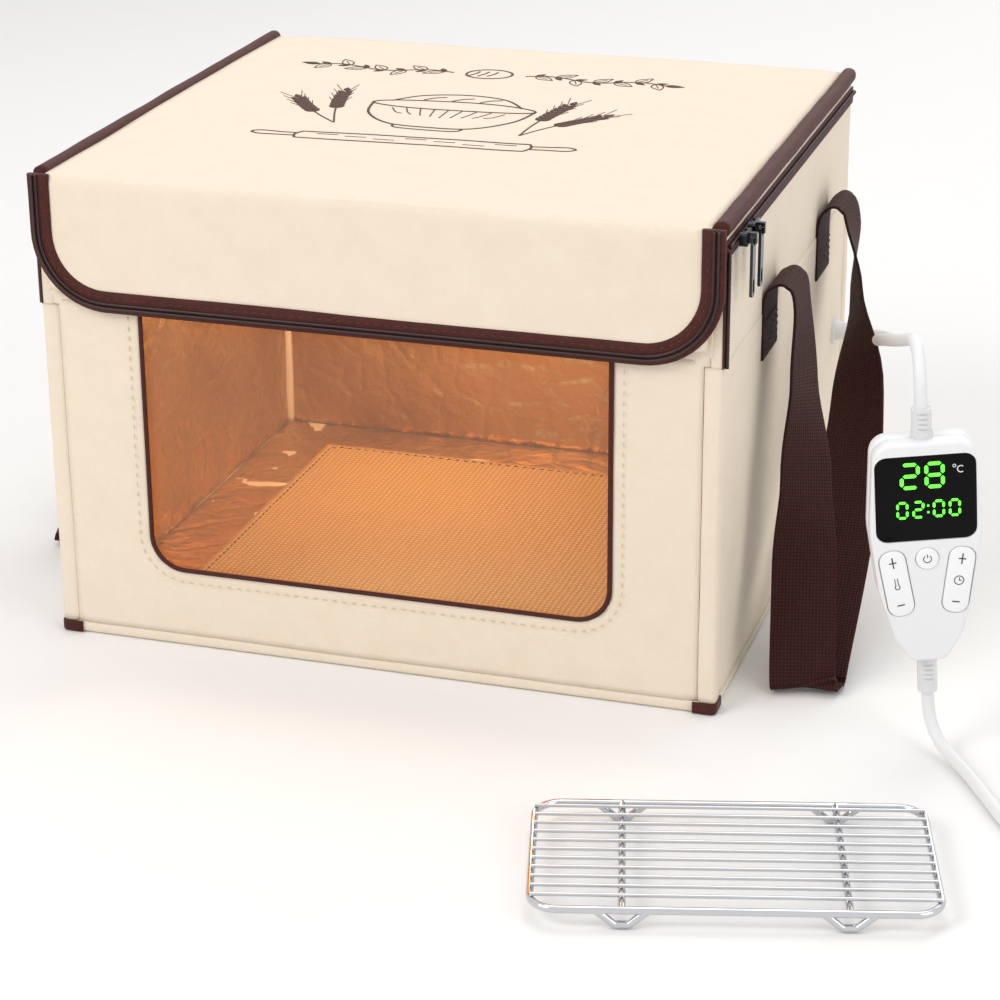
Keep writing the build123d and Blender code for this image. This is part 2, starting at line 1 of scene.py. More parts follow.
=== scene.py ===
import math
import bmesh
import bpy
from mathutils import Matrix, Quaternion, Vector, noise
from mathutils.bvhtree import BVHTree


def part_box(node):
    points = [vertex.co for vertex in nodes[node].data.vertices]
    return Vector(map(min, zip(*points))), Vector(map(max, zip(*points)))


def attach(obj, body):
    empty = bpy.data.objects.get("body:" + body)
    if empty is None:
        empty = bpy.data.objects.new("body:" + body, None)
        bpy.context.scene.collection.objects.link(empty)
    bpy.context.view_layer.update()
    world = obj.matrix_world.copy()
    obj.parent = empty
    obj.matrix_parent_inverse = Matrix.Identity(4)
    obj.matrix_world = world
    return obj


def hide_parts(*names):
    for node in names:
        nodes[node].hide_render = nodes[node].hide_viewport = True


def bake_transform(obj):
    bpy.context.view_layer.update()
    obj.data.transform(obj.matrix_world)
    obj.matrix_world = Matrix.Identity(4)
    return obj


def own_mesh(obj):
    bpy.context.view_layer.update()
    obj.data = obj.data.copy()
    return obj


# Folding heated cabinet for dough: cream woven cloth over boards, brown tape and webbing, foil inside,
# a clear film window, a wired handset and a chromed wire rack. Metres, +Z up, the front faces -Y.

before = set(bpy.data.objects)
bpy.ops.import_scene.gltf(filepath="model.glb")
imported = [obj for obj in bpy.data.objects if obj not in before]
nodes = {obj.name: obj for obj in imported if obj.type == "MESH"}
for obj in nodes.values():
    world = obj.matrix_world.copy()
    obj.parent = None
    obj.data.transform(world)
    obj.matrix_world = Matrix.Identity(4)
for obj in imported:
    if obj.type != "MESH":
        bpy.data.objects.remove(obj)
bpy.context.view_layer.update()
MM = 0.001

# ---- sizes read from the frame ----
HALF_W, HALF_D, BASE_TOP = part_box("base_cover")[1]
LID_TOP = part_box("lid_panel")[1].z
LID_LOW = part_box("lid_liner")[0].z
BAND_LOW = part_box("top_band")[0].z
BAND_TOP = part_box("top_band")[1].z
FLAP_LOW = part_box("flap_binding")[0].z
FRONT_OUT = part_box("flap_panel")[0].y - 0.0002

# ---- sizes that several pieces share ----
WALL_LOW = 0.0072                       # the walls' lower edge, behind the base's skirt
SIDE_WIDE = 0.3404                      # side cloths, between the corner sleeves
FRONT_WIDE = 0.3806                     # front and back cloths
CLOTH_CELL = 0.0042                     # how fine the grids of cloth and foil are
FOIL_THICK = 0.0004
FOIL_CELL = 0.0045
OPENING_TOP = BAND_LOW + 0.004          # where the front wall goes up behind the front rim
STRAP_WIDE, STRAP_THICK = 0.038, 0.0016
SWING = 0.202                           # where the straps swing, and the top of their sewn ends
LEAD_RADIUS = 0.0035
FOOT = 3.6                              # the lead's middle line above the floor, in millimetres

# a thread stitch's length, the gap to the next one, and its thickness
WINDOW_STITCH = (0.0034, 0.0026, 0.0008)
MAT_STITCH = (0.0034, 0.0026, 0.0009)
TAPE_STITCH = (0.0030, 0.0022, 0.0007)
FLAP_STITCH = (0.0032, 0.0024, 0.0007)
BOX_STITCH = (0.0026, 0.0016, 0.0008)


# ---- pieces ----
def link(obj):
    bpy.context.scene.collection.objects.link(obj)
    return obj


def mesh_object(name, bm, material, smooth=True):
    """A new piece from a bmesh, at the origin."""
    mesh = bpy.data.meshes.new(name)
    bm.to_mesh(mesh)
    bm.free()
    if material:
        mesh.materials.append(material)
    for polygon in mesh.polygons:
        polygon.use_smooth = smooth
    return link(bpy.data.objects.new(name, mesh))


def bake(obj):
    """Apply every modifier, so that the mesh is final."""
    graph = bpy.context.evaluated_depsgraph_get()
    made = bpy.data.meshes.new_from_object(obj.evaluated_get(graph))
    obj.modifiers.clear()
    obj.data = made
    return obj


def join(name, parts):
    """Several pieces as one mesh."""
    bm = bmesh.new()
    for part in parts:
        bm.from_mesh(part.data)
    mesh = bpy.data.meshes.new(name)
    bm.to_mesh(mesh)
    bm.free()
    for material in parts[0].data.materials:
        mesh.materials.append(material)
    for part in parts:
        bpy.data.objects.remove(part)
    return link(bpy.data.objects.new(name, mesh))


def dress(piece, body, slot, *replaced):
    """Hide the CAD nodes that a piece stands for and hang it on the body that it rides on; slot is not used."""
    if replaced:
        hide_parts(*replaced)
    if body:
        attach(piece, body)


def fold(piece):
    """Bake a piece's placement into its mesh."""
    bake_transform(piece)


def thicken(obj, thickness, offset=-1.0):
    modifier = obj.modifiers.new("thick", "SOLIDIFY")
    modifier.thickness = thickness
    modifier.offset = offset
    return obj


def bevel(obj, width, segments=2, angle=30):
    """Round the edges whose faces meet at more than this angle."""
    modifier = obj.modifiers.new("edge", "BEVEL")
    modifier.width = width
    modifier.segments = segments
    modifier.limit_method = "ANGLE"
    modifier.angle_limit = math.radians(angle)
    return obj


def cut_out(body, cutter):
    """Cut a closed piece out of another one, which is then final."""
    cut = body.modifiers.new("opening", "BOOLEAN")
    cut.operation = "DIFFERENCE"
    cut.solver = "EXACT"
    cut.object = cutter
    bake(body)
    bpy.data.objects.remove(cutter)


def face_towards(obj, direction):
    """Turn an open sheet's faces towards a direction."""
    bm = bmesh.new()
    bm.from_mesh(obj.data)
    bm.normal_update()
    if sum(face.normal.dot(Vector(direction)) for face in bm.faces) < 0:
        bmesh.ops.reverse_faces(bm, faces=bm.faces)
    bm.to_mesh(obj.data)
    bm.free()


# ---- slack in cloth and foil ----
def ripple(point, size, seed=0.0):
    """A smooth wander between about -1 and 1, with bumps of that size."""
    return noise.noise(Vector(point) / size + Vector((seed, seed * 0.7, 0)))


def wavy(point, seed, size=0.07, deep=0.0007):
    """How far slack cloth stands off its board here."""
    return deep * (ripple(point, size, seed) + 0.4 * ripple(point, size * 0.4, seed + 3))


def crinkle(u, v, seed, fine=0, wide=0):
    """How far foil stands off its board here; fine and wide keep two foils' bumps apart."""
    return 0.0005 * ripple((u, v, fine), 0.018, seed) + 0.0008 * ripple((u, v, wide), 0.05, seed + 5)


def tucked(u, width, reach, deep):
    """How far cloth draws in near its two sewn edges."""
    edge = min(width / 2 - abs(u), reach)
    return deep * (1 - edge / reach) ** 2


def edge_round(distance, radius):
    """How far a soft edge falls back at this distance from it."""
    if distance >= radius:
        return 0.0
    return radius - math.sqrt(max(radius * radius - (radius - distance) ** 2, 0.0))


def panel(name, size, cell, place, material, facing, thickness=0):
    """A sheet on a grid whose points go where place(u, v) says, u and v from its middle, facing outwards."""
    bm = bmesh.new()
    across, along = (max(2, round(length / cell)) for length in size)
    bmesh.ops.create_grid(bm, x_segments=across, y_segments=along, size=0.5)
    uv = bm.loops.layers.uv.new("cloth")
    for face in bm.faces:
        for loop in face.loops:
            u, v = loop.vert.co.x * size[0], loop.vert.co.y * size[1]
            loop[uv].uv = (u / MM, v / MM)
    for vert in bm.verts:
        vert.co = place(vert.co.x * size[0], vert.co.y * size[1])
    sheet = mesh_object(name, bm, material)
    face_towards(sheet, facing)
    return bake(thicken(sheet, thickness)) if thickness else sheet


# ---- paths, and profiles drawn along them ----
def straight(start, end, pieces):
    """Points at even steps from start to end."""
    return [Vector([a + (b - a) * i / pieces for a, b in zip(start, end)]) for i in range(pieces + 1)]


def spread(points, step):
    """Points at an even step along a line of points."""
    out = [Vector(points[0])]
    left = step
    for a, b in zip(points, points[1:]):
        a, b = Vector(a), Vector(b)
        run = (b - a).length
        done = 0.0
        while run - done >= left:
            done += left
            out.append(a + (b - a) * (done / run))
            left = step
        left -= run - done
    return out


def even(points, step):
    """The same line with points at about this step, its ends kept."""
    out = []
    for a, b in zip(points, points[1:]):
        pieces = max(1, round((b - a).length / step))
        out += [a + (b - a) * (i / pieces) for i in range(pieces)]
    return out + [points[-1]]


def round_turn(before, at, after, radius, pieces):
    """Points on the arc that rounds one corner."""
    back, on = (before - at).normalized(), (after - at).normalized()
    half = back.angle(on) / 2
    cut = radius / math.tan(half)
    centre = at + (back + on).normalized() * (radius / math.sin(half))
    start, end = at + back * cut - centre, at + on * cut - centre
    axis = start.cross(end).normalized()
    return [centre + Quaternion(axis, start.angle(end) * k / pieces) @ start for k in range(pieces + 1)]


def corner_path(corners, radii, pieces):
    """Straight runs between corners with round turns; radii go with the inner corners."""
    corners = [Vector(corner) for corner in corners]
    points = [corners[0]]
    for before, at, after, radius in zip(corners, corners[1:], corners[2:], radii):
        points += round_turn(before, at, after, radius, pieces)
    return points + [corners[-1]]


def open_topped(half, low, top, radius, pieces):
    """An outline in X and Z from its upper left, down, round and up, open at the top."""
    return corner_path([(-half, 0, top), (-half, 0, low), (half, 0, low), (half, 0, top)], [radius] * 2, pieces)


def oval(wide, high, sides=12, power=1.0):
    """A rounded profile, wide by high; a power under 1 makes it boxier."""
    points = []
    for i in range(sides):
        c = math.cos(2 * math.pi * i / sides)
        s = math.sin(2 * math.pi * i / sides)
        points.append((wide / 2 * math.copysign(abs(c) ** power, c), high / 2 * math.copysign(abs(s) ** power, s)))
    return points


def frames_along(places, sides):
    """A frame at each place, its first axis as near the side as it can be, its third along the path."""
    frames = []
    for i, (at, side) in enumerate(zip(places, sides)):
        along = (places[min(i + 1, len(places) - 1)] - places[max(i - 1, 0)]).normalized()
        first = (side - along * side.dot(along)).normalized()
        turned = Matrix((first, along.cross(first), along)).transposed().to_4x4()
        frames.append(Matrix.Translation(at) @ turned)
    return frames


def extrude(bm, edges):
    """Extrude edges once, in place: the new points, and the new edges between them."""
    made = bmesh.ops.extrude_edge_only(bm, edges=edges)["geom"]
    verts = [piece for piece in made if isinstance(piece, bmesh.types.BMVert)]
    edges = [piece for piece in made if isinstance(piece, bmesh.types.BMEdge)
             and all(vert in verts for vert in piece.verts)]
    return verts, edges


def extrude_through(bm, row, edges, frames):
    """Extrude a row of points through the frames; gives each point's number in the row and its run."""
    marks = {vert: (k, 0.0) for k, vert in enumerate(row)}
    last = set(row)
    run = 0.0
    for before, after in zip(frames, frames[1:]):
        verts, edges = extrude(bm, edges)
        run += (after.translation - before.translation).length
        for vert in verts:
            old = next(edge.other_vert(vert) for edge in vert.link_edges if edge.other_vert(vert) in last)
            marks[vert] = (marks[old][0], run)
        last = set(verts)
        bmesh.ops.transform(bm, matrix=after @ before.inverted(), verts=verts)
    return marks


def sweep(name, path, profile, side, material):
    """A closed profile extruded along a path; the profile's first axis lies along side."""
    bm = bmesh.new()
    frames = frames_along([Vector(point) for point in path], [Vector(side)] * len(path))
    ring = [bm.verts.new(frames[0] @ Vector((a, b, 0))) for a, b in profile]
    edges = [bm.edges.new((ring[k - 1], ring[k])) for k in range(len(ring))]
    marks = extrude_through(bm, ring, edges, frames)
    uv = bm.loops.layers.uv.new("cloth")
    for face in bm.faces:
        turns = [marks[loop.vert][0] for loop in face.loops]
        for loop, turn in zip(face.loops, turns):
            wrapped = turn + len(profile) if max(turns) - turn > 1 else turn
            loop[uv].uv = (wrapped, marks[loop.vert][1] / MM)
    bmesh.ops.holes_fill(bm, edges=[edge for edge in bm.edges if edge.is_boundary])
    bmesh.ops.recalc_face_normals(bm, faces=bm.faces)
    return mesh_object(name, bm, material)


def ribbon(name, stations):
    """Strap webbing through its stations, each a place and the direction of the width there."""
    cuts = 12
    bm = bmesh.new()
    frames = frames_along([at for at, across in stations], [across for at, across in stations])
    row = [bm.verts.new(frames[0] @ Vector((STRAP_WIDE * (k / cuts - 0.5), 0, 0))) for k in range(cuts + 1)]
    edges = [bm.edges.new((row[k], row[k + 1])) for k in range(cuts)]
    marks = extrude_through(bm, row, edges, frames)
    uv = bm.loops.layers.uv.new("cloth")
    for face in bm.faces:
        for loop in face.loops:
            k, run = marks[loop.vert]
            loop[uv].uv = (STRAP_WIDE * k / cuts / MM, run / MM)
    web = thicken(mesh_object(name, bm, WEBBING), STRAP_THICK, 0.0)
    return bake(bevel(web, STRAP_THICK * 0.3))


def stitches(name, path, normal, stitch, material):
    """A row of thread stitches, each a small capsule, laid along a path."""
    bm = bmesh.new()
    length, gap, thick = stitch
    line = spread(path, length + gap)
    for here, there in zip(line, line[1:]):
        along = (there - here).normalized()
        up = Vector(normal)
        up = (up - along * up.dot(along)).normalized()
        turned = Matrix((along.cross(up), up, along)).transposed().to_4x4()
        made = bmesh.ops.create_icosphere(bm, subdivisions=1, radius=0.5)
        scale = Matrix.Diagonal((thick, thick * 0.8, length, 1.0))
        middle = Matrix.Translation(here + along * (length / 2))
        bmesh.ops.transform(bm, matrix=middle @ turned @ scale, verts=made["verts"])
    return mesh_object(name, bm, material)


def coil_row(name, line, side, thick, turns, narrow):
    """A zipper's coil: a bar along evenly spaced points, drawn in at every second one for its teeth."""
    row = sweep(name, line, oval(thick, thick, turns), side, COIL_PLASTIC)
    for i, vert in enumerate(row.data.vertices):
        ring = i // turns
        if ring % 2 and ring < len(line):
            vert.co = line[ring] + (vert.co - line[ring]) * narrow
    return row


# ---- materials ----
def linear(code):
    """An sRGB hex colour as Blender's linear colour."""
    values = [int(code[i:i + 2], 16) / 255 for i in (1, 3, 5)]
    return tuple(v / 12.92 if v <= 0.04045 else ((v + 0.055) / 1.055) ** 2.4 for v in values) + (1.0,)


def fill(node, inputs):
    """Set a node's inputs, each to a value or to a link from another node's output."""
    for key, value in inputs.items():
        if isinstance(value, bpy.types.NodeSocket):
            node.id_data.links.new(value, node.inputs[key])
        else:
            node.inputs[key].default_value = value


def add(tree, kind, inputs=None, **settings):
    """Add one node with its settings and links, and give its outputs."""
    made = tree.nodes.new(kind)
    for key, value in settings.items():
        setattr(made, key, value)
    fill(made, inputs or {})
    return made.outputs


def new_material(name):
    """A material, its node tree and its texture coordinates."""
    material = bpy.data.materials.new(name)
    material.use_nodes = True
    return material, material.node_tree, add(material.node_tree, "ShaderNodeTexCoord")


def finish(material, inputs):
    """Set the material's shader."""
    fill(material.node_tree.nodes["Principled BSDF"], inputs)
    return material


BAND = 0.31416          # a wave texture's bands repeat every BAND / Scale of its coordinates
THREAD = 1.25 * MM      # drawn about twice as coarse as the cloth's thread, so that it shows


def weave(tree, place, spacing, operation="ADD"):
    """Even ribs across each direction at its spacing, put together."""
    woven = None
    for direction, period in spacing.items():
        ribs = add(tree, "ShaderNodeTexWave", {"Vector": place, "Scale": BAND / period, "Distortion": 0.0},
                   wave_type="BANDS", bands_direction=direction)["Fac"]
        woven = add(tree, "ShaderNodeMath", {0: woven, 1: ribs}, operation=operation)[0] if woven else ribs
    return woven


def cream_cloth():
    """Oxford polyester, plain woven and lightly coated: matte, with a faint crossed thread."""
    material, tree, place = new_material("cream_oxford_cloth")
    place = place["Object"]
    threads = weave(tree, place, {"X": THREAD, "Y": THREAD, "Z": THREAD})
    slubs = add(tree, "ShaderNodeTexNoise", {"Vector": place, "Scale": 900.0, "Detail": 2.0})["Fac"]
    folds = add(tree, "ShaderNodeTexNoise", {"Vector": place, "Scale": 14.0, "Detail": 3.0})["Fac"]
    mottle = add(tree, "ShaderNodeTexNoise", {"Vector": place, "Scale": 55.0, "Detail": 4.0})["Fac"]
    tone = add(tree, "ShaderNodeMix", {0: mottle, 6: linear("#ebdbc5"), 7: linear("#f2e5d3")},
               data_type="RGBA")[2]
    fleck = add(tree, "ShaderNodeMath", {0: slubs, 1: 0.22}, operation="MULTIPLY")[0]
    tone = add(tree, "ShaderNodeMix", {0: fleck, 6: tone, 7: linear("#d6c4a8")}, data_type="RGBA")[2]
    threads = add(tree, "ShaderNodeMath", {0: threads, 1: 0.25}, operation="MULTIPLY")[0]
    slubs = add(tree, "ShaderNodeMath", {0: slubs, 1: 0.4}, operation="MULTIPLY")[0]
    folds = add(tree, "ShaderNodeMath", {0: folds, 1: 5.0}, operation="MULTIPLY")[0]
    height = add(tree, "ShaderNodeMath", {0: threads, 1: slubs}, operation="ADD")[0]
    height = add(tree, "ShaderNodeMath", {0: height, 1: folds}, operation="ADD")[0]
    relief = add(tree, "ShaderNodeBump", {"Height": height, "Strength": 0.45, "Distance": 0.0005})["Normal"]
    return finish(material, {"Base Color": tone, "Normal": relief, "Roughness": 0.82, "Sheen Weight": 0.12,
                             "Sheen Roughness": 0.5, "Specular IOR Level": 0.3})


def brown_tape():
    """Nylon binding tape: dark chocolate, fine ribs across, a little sheen."""
    material, tree, place = new_material("brown_nylon_tape")
    place = place["Object"]
    ribs = weave(tree, place, {"X": 1.1 * MM, "Y": 1.1 * MM, "Z": 1.1 * MM})
    wear = add(tree, "ShaderNodeTexNoise", {"Vector": place, "Scale": 160.0, "Detail": 4.0})["Fac"]
    tone = add(tree, "ShaderNodeMix", {0: wear, 6: linear("#300f0a"), 7: linear("#541e15")}, data_type="RGBA")[2]
    height = add(tree, "ShaderNodeMath", {0: ribs, 1: wear}, operation="ADD")[0]
    relief = add(tree, "ShaderNodeBump", {"Height": height, "Strength": 0.5, "Distance": 0.00025})["Normal"]
    return finish(material, {"Base Color": tone, "Normal": relief, "Roughness": 0.66, "Sheen Weight": 0.08,
                             "Sheen Roughness": 0.4, "Specular IOR Level": 0.3})


def brown_webbing():
    """Woven polypropylene webbing: square basket weave in rows across the band."""
    material, tree, place = new_material("brown_polypropylene_webbing")
    cells = weave(tree, place["UV"], {"X": 2.0, "Y": 1.9}, "MULTIPLY")      # its UV map is in millimetres
    wear = add(tree, "ShaderNodeTexNoise", {"Vector": place["Object"], "Scale": 90.0, "Detail": 3.0})["Fac"]
    tone = add(tree, "ShaderNodeMix", {0: cells, 6: linear("#1c0806"), 7: linear("#522019")},
               data_type="RGBA")[2]
    wear = add(tree, "ShaderNodeMath", {0: wear, 1: 0.5}, operation="MULTIPLY")[0]
    tone = add(tree, "ShaderNodeMix", {0: wear, 6: tone, 7: linear("#3d1814")}, data_type="RGBA")[2]
    relief = add(tree, "ShaderNodeBump", {"Height": cells, "Strength": 0.7, "Distance": 0.0006})["Normal"]
    return finish(material, {"Base Color": tone, "Normal": relief, "Roughness": 0.7, "Sheen Weight": 0.04,
                             "Sheen Roughness": 0.4, "Specular IOR Level": 0.2})


def thread(name, dark, pale, rough):
    """Polyester sewing thread, whose twist shows as slanting bands."""
    material, tree, place = new_material(name)
    twist = weave(tree, place["Object"], {"DIAGONAL": 0.5 * MM})
    tone = add(tree, "ShaderNodeMix", {0: twist, 6: linear(dark), 7: linear(pale)}, data_type="RGBA")[2]
    return finish(material, {"Base Color": tone, "Roughness": rough})


def foil_painted_warm_glow():
    """Laminated foil in the lamp's warm light, metallic and crinkled; its amber tone and faint emission are a painted
    warm glow.
    """
    material, tree, place = new_material("laminated_foil_painted_warm_glow")
    place = place["Object"]
    crease = add(tree, "ShaderNodeTexVoronoi", {"Vector": place, "Scale": 34.0}, feature="DISTANCE_TO_EDGE")
    crease = add(tree, "ShaderNodeMath", {0: crease["Distance"], 1: 0.12}, operation="MINIMUM")[0]
    fine = add(tree, "ShaderNodeTexNoise", {"Vector": place, "Scale": 60.0, "Detail": 5.0})["Fac"]
    wide = add(tree, "ShaderNodeTexNoise", {"Vector": place, "Scale": 9.0, "Detail": 2.0})["Fac"]
    tone = add(tree, "ShaderNodeMix", {0: wide, 6: linear("#a06f3c"), 7: linear("#dcb27c")}, data_type="RGBA")[2]
    height = add(tree, "ShaderNodeMath", {0: crease, 1: fine}, operation="ADD")[0]
    relief = add(tree, "ShaderNodeBump", {"Height": height, "Strength": 0.9, "Distance": 0.004})["Normal"]
    # painted glow: the amber tone is both the base colour and a faint emission, so the foil shines warm by itself
    return finish(material, {"Base Color": tone, "Emission Color": tone, "Normal": relief, "Roughness": 0.32,
                             "Metallic": 0.8, "Emission Strength": 0.1})


def clear_film():
    """Clear vinyl film: nearly all light passes, with a soft gloss and a faint warm tint."""
    material, tree, place = new_material("clear_vinyl_film")
    waves = add(tree, "ShaderNodeTexNoise", {"Vector": place["Object"], "Scale": 12.0})["Fac"]
    relief = add(tree, "ShaderNodeBump", {"Height": waves, "Strength": 0.2, "Distance": 0.002})["Normal"]
    return finish(material, {"Base Color": linear("#f4ead6"), "Normal": relief, "Roughness": 0.05,
                             "Alpha": 0.07, "Specular IOR Level": 0.5})


def gunmetal():
    """Zinc casting with a polished gunmetal plating, a little cloudy."""
    material, tree, place = new_material("gunmetal_plated_zinc")
    haze = add(tree, "ShaderNodeTexNoise", {"Vector": place["Object"], "Scale": 400.0, "Detail": 3.0})["Fac"]
    tone = add(tree, "ShaderNodeMix", {0: haze, 6: linear("#2c2d30"), 7: linear("#4b4c50")}, data_type="RGBA")[2]
    relief = add(tree, "ShaderNodeBump", {"Height": haze, "Strength": 0.15, "Distance": 0.0002})["Normal"]
    return finish(material, {"Base Color": tone, "Normal": relief, "Metallic": 1.0, "Roughness": 0.22})


def polished(name, code, scale, swing, least, inputs):
    """A glossy face with faint smears, which blur its reflections in places."""
    material, tree, place = new_material(name)
    smear = add(tree, "ShaderNodeTexNoise", {"Vector": place["Object"], "Scale": scale, "Detail": 3.0})["Fac"]
    rough = add(tree, "ShaderNodeMath", {0: smear, 1: swing}, operation="MULTIPLY")[0]
    rough = add(tree, "ShaderNodeMath", {0: rough, 1: least}, operation="ADD")[0]
    return finish(material, {"Base Color": linear(code), "Roughness": rough} | inputs)


def grained(name, code, rough, inputs=None, grain=(700.0, 2.0), relief=(0.08, 0.0001)):
    """An even finish with a faint grain: its noise's scale and detail, and its relief's strength and depth."""
    material, tree, place = new_material(name)
    scale, detail = grain
    strength, depth = relief
    specks = add(tree, "ShaderNodeTexNoise", {"Vector": place["Object"], "Scale": scale, "Detail": detail})["Fac"]
    bumps = add(tree, "ShaderNodeBump", {"Height": specks, "Strength": strength, "Distance": depth})["Normal"]
    return finish(material, {"Base Color": linear(code), "Normal": bumps, "Roughness": rough} | (inputs or {}))


def moulded(name, code, rough):
    """Moulded ABS with a fine satin surface."""
    return grained(name, code, rough, {"Coat Weight": 0.15, "Coat Roughness": 0.2}, (1500.0, 2.0), (0.06, 0.0001))


def mat_cloth():
    """Woven glass cloth of the heating mat: pale tan with a crossed weave."""
    material, tree, place = new_material("tan_woven_glass_cloth")
    place = place["Object"]
    woven = weave(tree, place, {"X": 3.4 * MM, "Y": 3.4 * MM}, "MULTIPLY")
    mottle = add(tree, "ShaderNodeTexNoise", {"Vector": place, "Scale": 40.0, "Detail": 4.0})["Fac"]
    tone = add(tree, "ShaderNodeMix", {0: woven, 6: linear("#b98d54"), 7: linear("#ecd2a0")},
               data_type="RGBA")[2]
    faded = add(tree, "ShaderNodeMath", {0: mottle, 1: 0.4}, operation="MULTIPLY")[0]
    tone = add(tree, "ShaderNodeMix", {0: faded, 6: tone, 7: linear("#d8a763")}, data_type="RGBA")[2]
    height = add(tree, "ShaderNodeMath", {0: woven, 1: mottle}, operation="ADD")[0]
    relief = add(tree, "ShaderNodeBump", {"Height": height, "Strength": 0.7, "Distance": 0.0008})["Normal"]
    return finish(material, {"Base Color": tone, "Normal": relief, "Roughness": 0.8})


CLOTH = cream_cloth()
TAPE = brown_tape()
WEBBING = brown_webbing()
BROWN_THREAD = thread("brown_polyester_thread", "#3b1712", "#6a342b", 0.6)
CREAM_THREAD = thread("cream_polyester_thread", "#cdb48c", "#e2cda9", 0.7)
FOIL = foil_painted_warm_glow()
FILM = clear_film()
MAT = mat_cloth()
GUNMETAL = gunmetal()
# polished chromium over steel wire, bright and clean
CHROME = polished("bright_chromed_wire", "#c9cacd", 120.0, 0.1, 0.05, {"Metallic": 1.0})
# a smoked acrylic lens: black, with clear reflections
LENS = polished("smoked_acrylic_lens", "#030304", 40.0, 0.06, 0.03, {"Specular IOR Level": 0.12})
# nickel-plated zinc: a paler, slightly soft shine
NICKEL = grained("nickel_plated_zinc", "#9a9a9c", 0.25, {"Metallic": 1.0}, (300.0, 3.0), (0.1, 0.0002))
# a white vinyl jacket with a soft satin surface
JACKET = grained("white_vinyl_jacket", "#e9e9ea", 0.42, {"Specular IOR Level": 0.45}, (300.0, 3.0), (0.12, 0.0002))
SHELL_WHITE = moulded("white_moulded_shell", "#ececee", 0.34)
KEY_WHITE = moulded("white_moulded_key", "#f4f4f5", 0.42)
BOOT_WHITE = moulded("white_moulded_boot", "#dededf", 0.5)
# a lit segment behind the lens, green enough to read in full light
GLOW = grained("green_lit_segment", "#58ee38", 0.4,
               {"Emission Color": linear("#58ee38"), "Emission Strength": 1.6})
# printed inks: thin, matte and even
INK = grained("brown_screen_ink", "#4a2618", 0.7)
LABEL_INK = grained("grey_pad_ink", "#3c3d40", 0.6)
WHITE_INK = grained("white_pad_ink", "#e8e8e8", 0.5)
# nylon zipper coil, resin board and solder mask: dyed through, with a dull or soft shine
COIL_PLASTIC = grained("dark_zipper_coil", "#2a100d", 0.45)
BOARD = grained("fibreglass_stiffener", "#6d6a63", 0.8)
CIRCUIT = grained("green_solder_mask", "#14532b", 0.4)
# bare metals as they come from stamping and drawing
BRASS = grained("plated_brass_pin", "#c9ab6b", 0.3, {"Metallic": 1.0})
STEEL = grained("drawn_steel", "#8d8d8f", 0.35, {"Metallic": 1.0})


# ---- camera, lamps and floor ----
def aim_camera():
    """The camera fitted to the box's corners: 17.6 degrees round to the right, 21.5 above."""
    turn, lift, roll = (math.radians(angle) for angle in (17.6, 21.5, -0.4))
    forward = Vector((-math.sin(turn) * math.cos(lift), math.cos(turn) * math.cos(lift), -math.sin(lift)))
    right = Vector((math.cos(turn), math.sin(turn), 0))
    up = right.cross(forward)
    level = right * math.cos(roll) + up * math.sin(roll)
    top = up * math.cos(roll) - right * math.sin(roll)
    eye = Vector((0.5125, -1.5584, 0.7098))
    lens = bpy.data.cameras.new("camera")
    lens.lens = 100.53
    lens.sensor_width = 36
    lens.shift_y = -0.04
    lens.clip_end = 20
    camera = link(bpy.data.objects.new("camera", lens))
    turned = Matrix((level, top, -forward)).transposed().to_4x4()
    camera.matrix_world = Matrix.Translation(eye) @ turned
    bpy.context.scene.camera = camera


def area_lamp(name, place, target, size, power):
    lamp = bpy.data.lights.new(name, "AREA")
    lamp.size = size
    lamp.energy = power
    obj = link(bpy.data.objects.new(name, lamp))
    obj.location = place
    obj.rotation_euler = (Vector(target) - Vector(place)).to_track_quat("-Z", "Y").to_euler()


def studio():
    """A soft white room, a pale floor, four wide lamps, and the warm lamp inside the cabinet."""
    bpy.context.scene.view_settings.view_transform = "Standard"
    world = bpy.data.worlds.new("soft_white")
    bpy.context.scene.world = world
    world.use_nodes = True
    tree = world.node_tree
    ray = add(tree, "ShaderNodeLightPath")
    seen = add(tree, "ShaderNodeMath", {0: ray["Is Camera Ray"], 1: ray["Is Glossy Ray"]}, operation="MAXIMUM")[0]
    strength = add(tree, "ShaderNodeMapRange", {"Value": seen, "To Min": 0.55, "To Max": 1.0})["Result"]
    fill(tree.nodes["Background"], {"Color": (1, 1, 1, 1), "Strength": strength})
    area_lamp("key", (-1.4, -1.9, 2.0), (0, 0, 0.15), 1.4, 34)
    area_lamp("fill", (2.2, -1.2, 1.4), (0.1, 0, 0.15), 1.6, 17)
    area_lamp("top", (0.1, 0.5, 2.4), (0, 0, 0.2), 1.6, 16)
    area_lamp("rear", (0.6, 2.4, 1.5), (0, 0, 0.15), 1.6, 12)

    material, tree, place = new_material("pale_seamless_floor")
    grain = add(tree, "ShaderNodeTexNoise", {"Vector": place["Object"], "Scale": 30.0})["Fac"]
    tone = add(tree, "ShaderNodeMix", {0: grain, 6: linear("#f3f2f1"), 7: linear("#f5f4f3")},
               data_type="RGBA")[2]
    finish(material, {"Base Color": tone, "Roughness": 0.9, "Specular IOR Level": 0.1})
    bm = bmesh.new()
    bmesh.ops.create_grid(bm, x_segments=1, y_segments=1, size=6)
    floor = mesh_object("floor", bm, material, smooth=False)
    floor.location.z = -0.0004

    glow = bpy.data.lights.new("chamber_lamp", "POINT")
    glow.energy = 1.35
    glow.color = (1.0, 0.72, 0.44)
    glow.shadow_soft_size = 0.06
    link(bpy.data.objects.new("chamber_lamp", glow)).location = (-0.06, 0.07, 0.215)


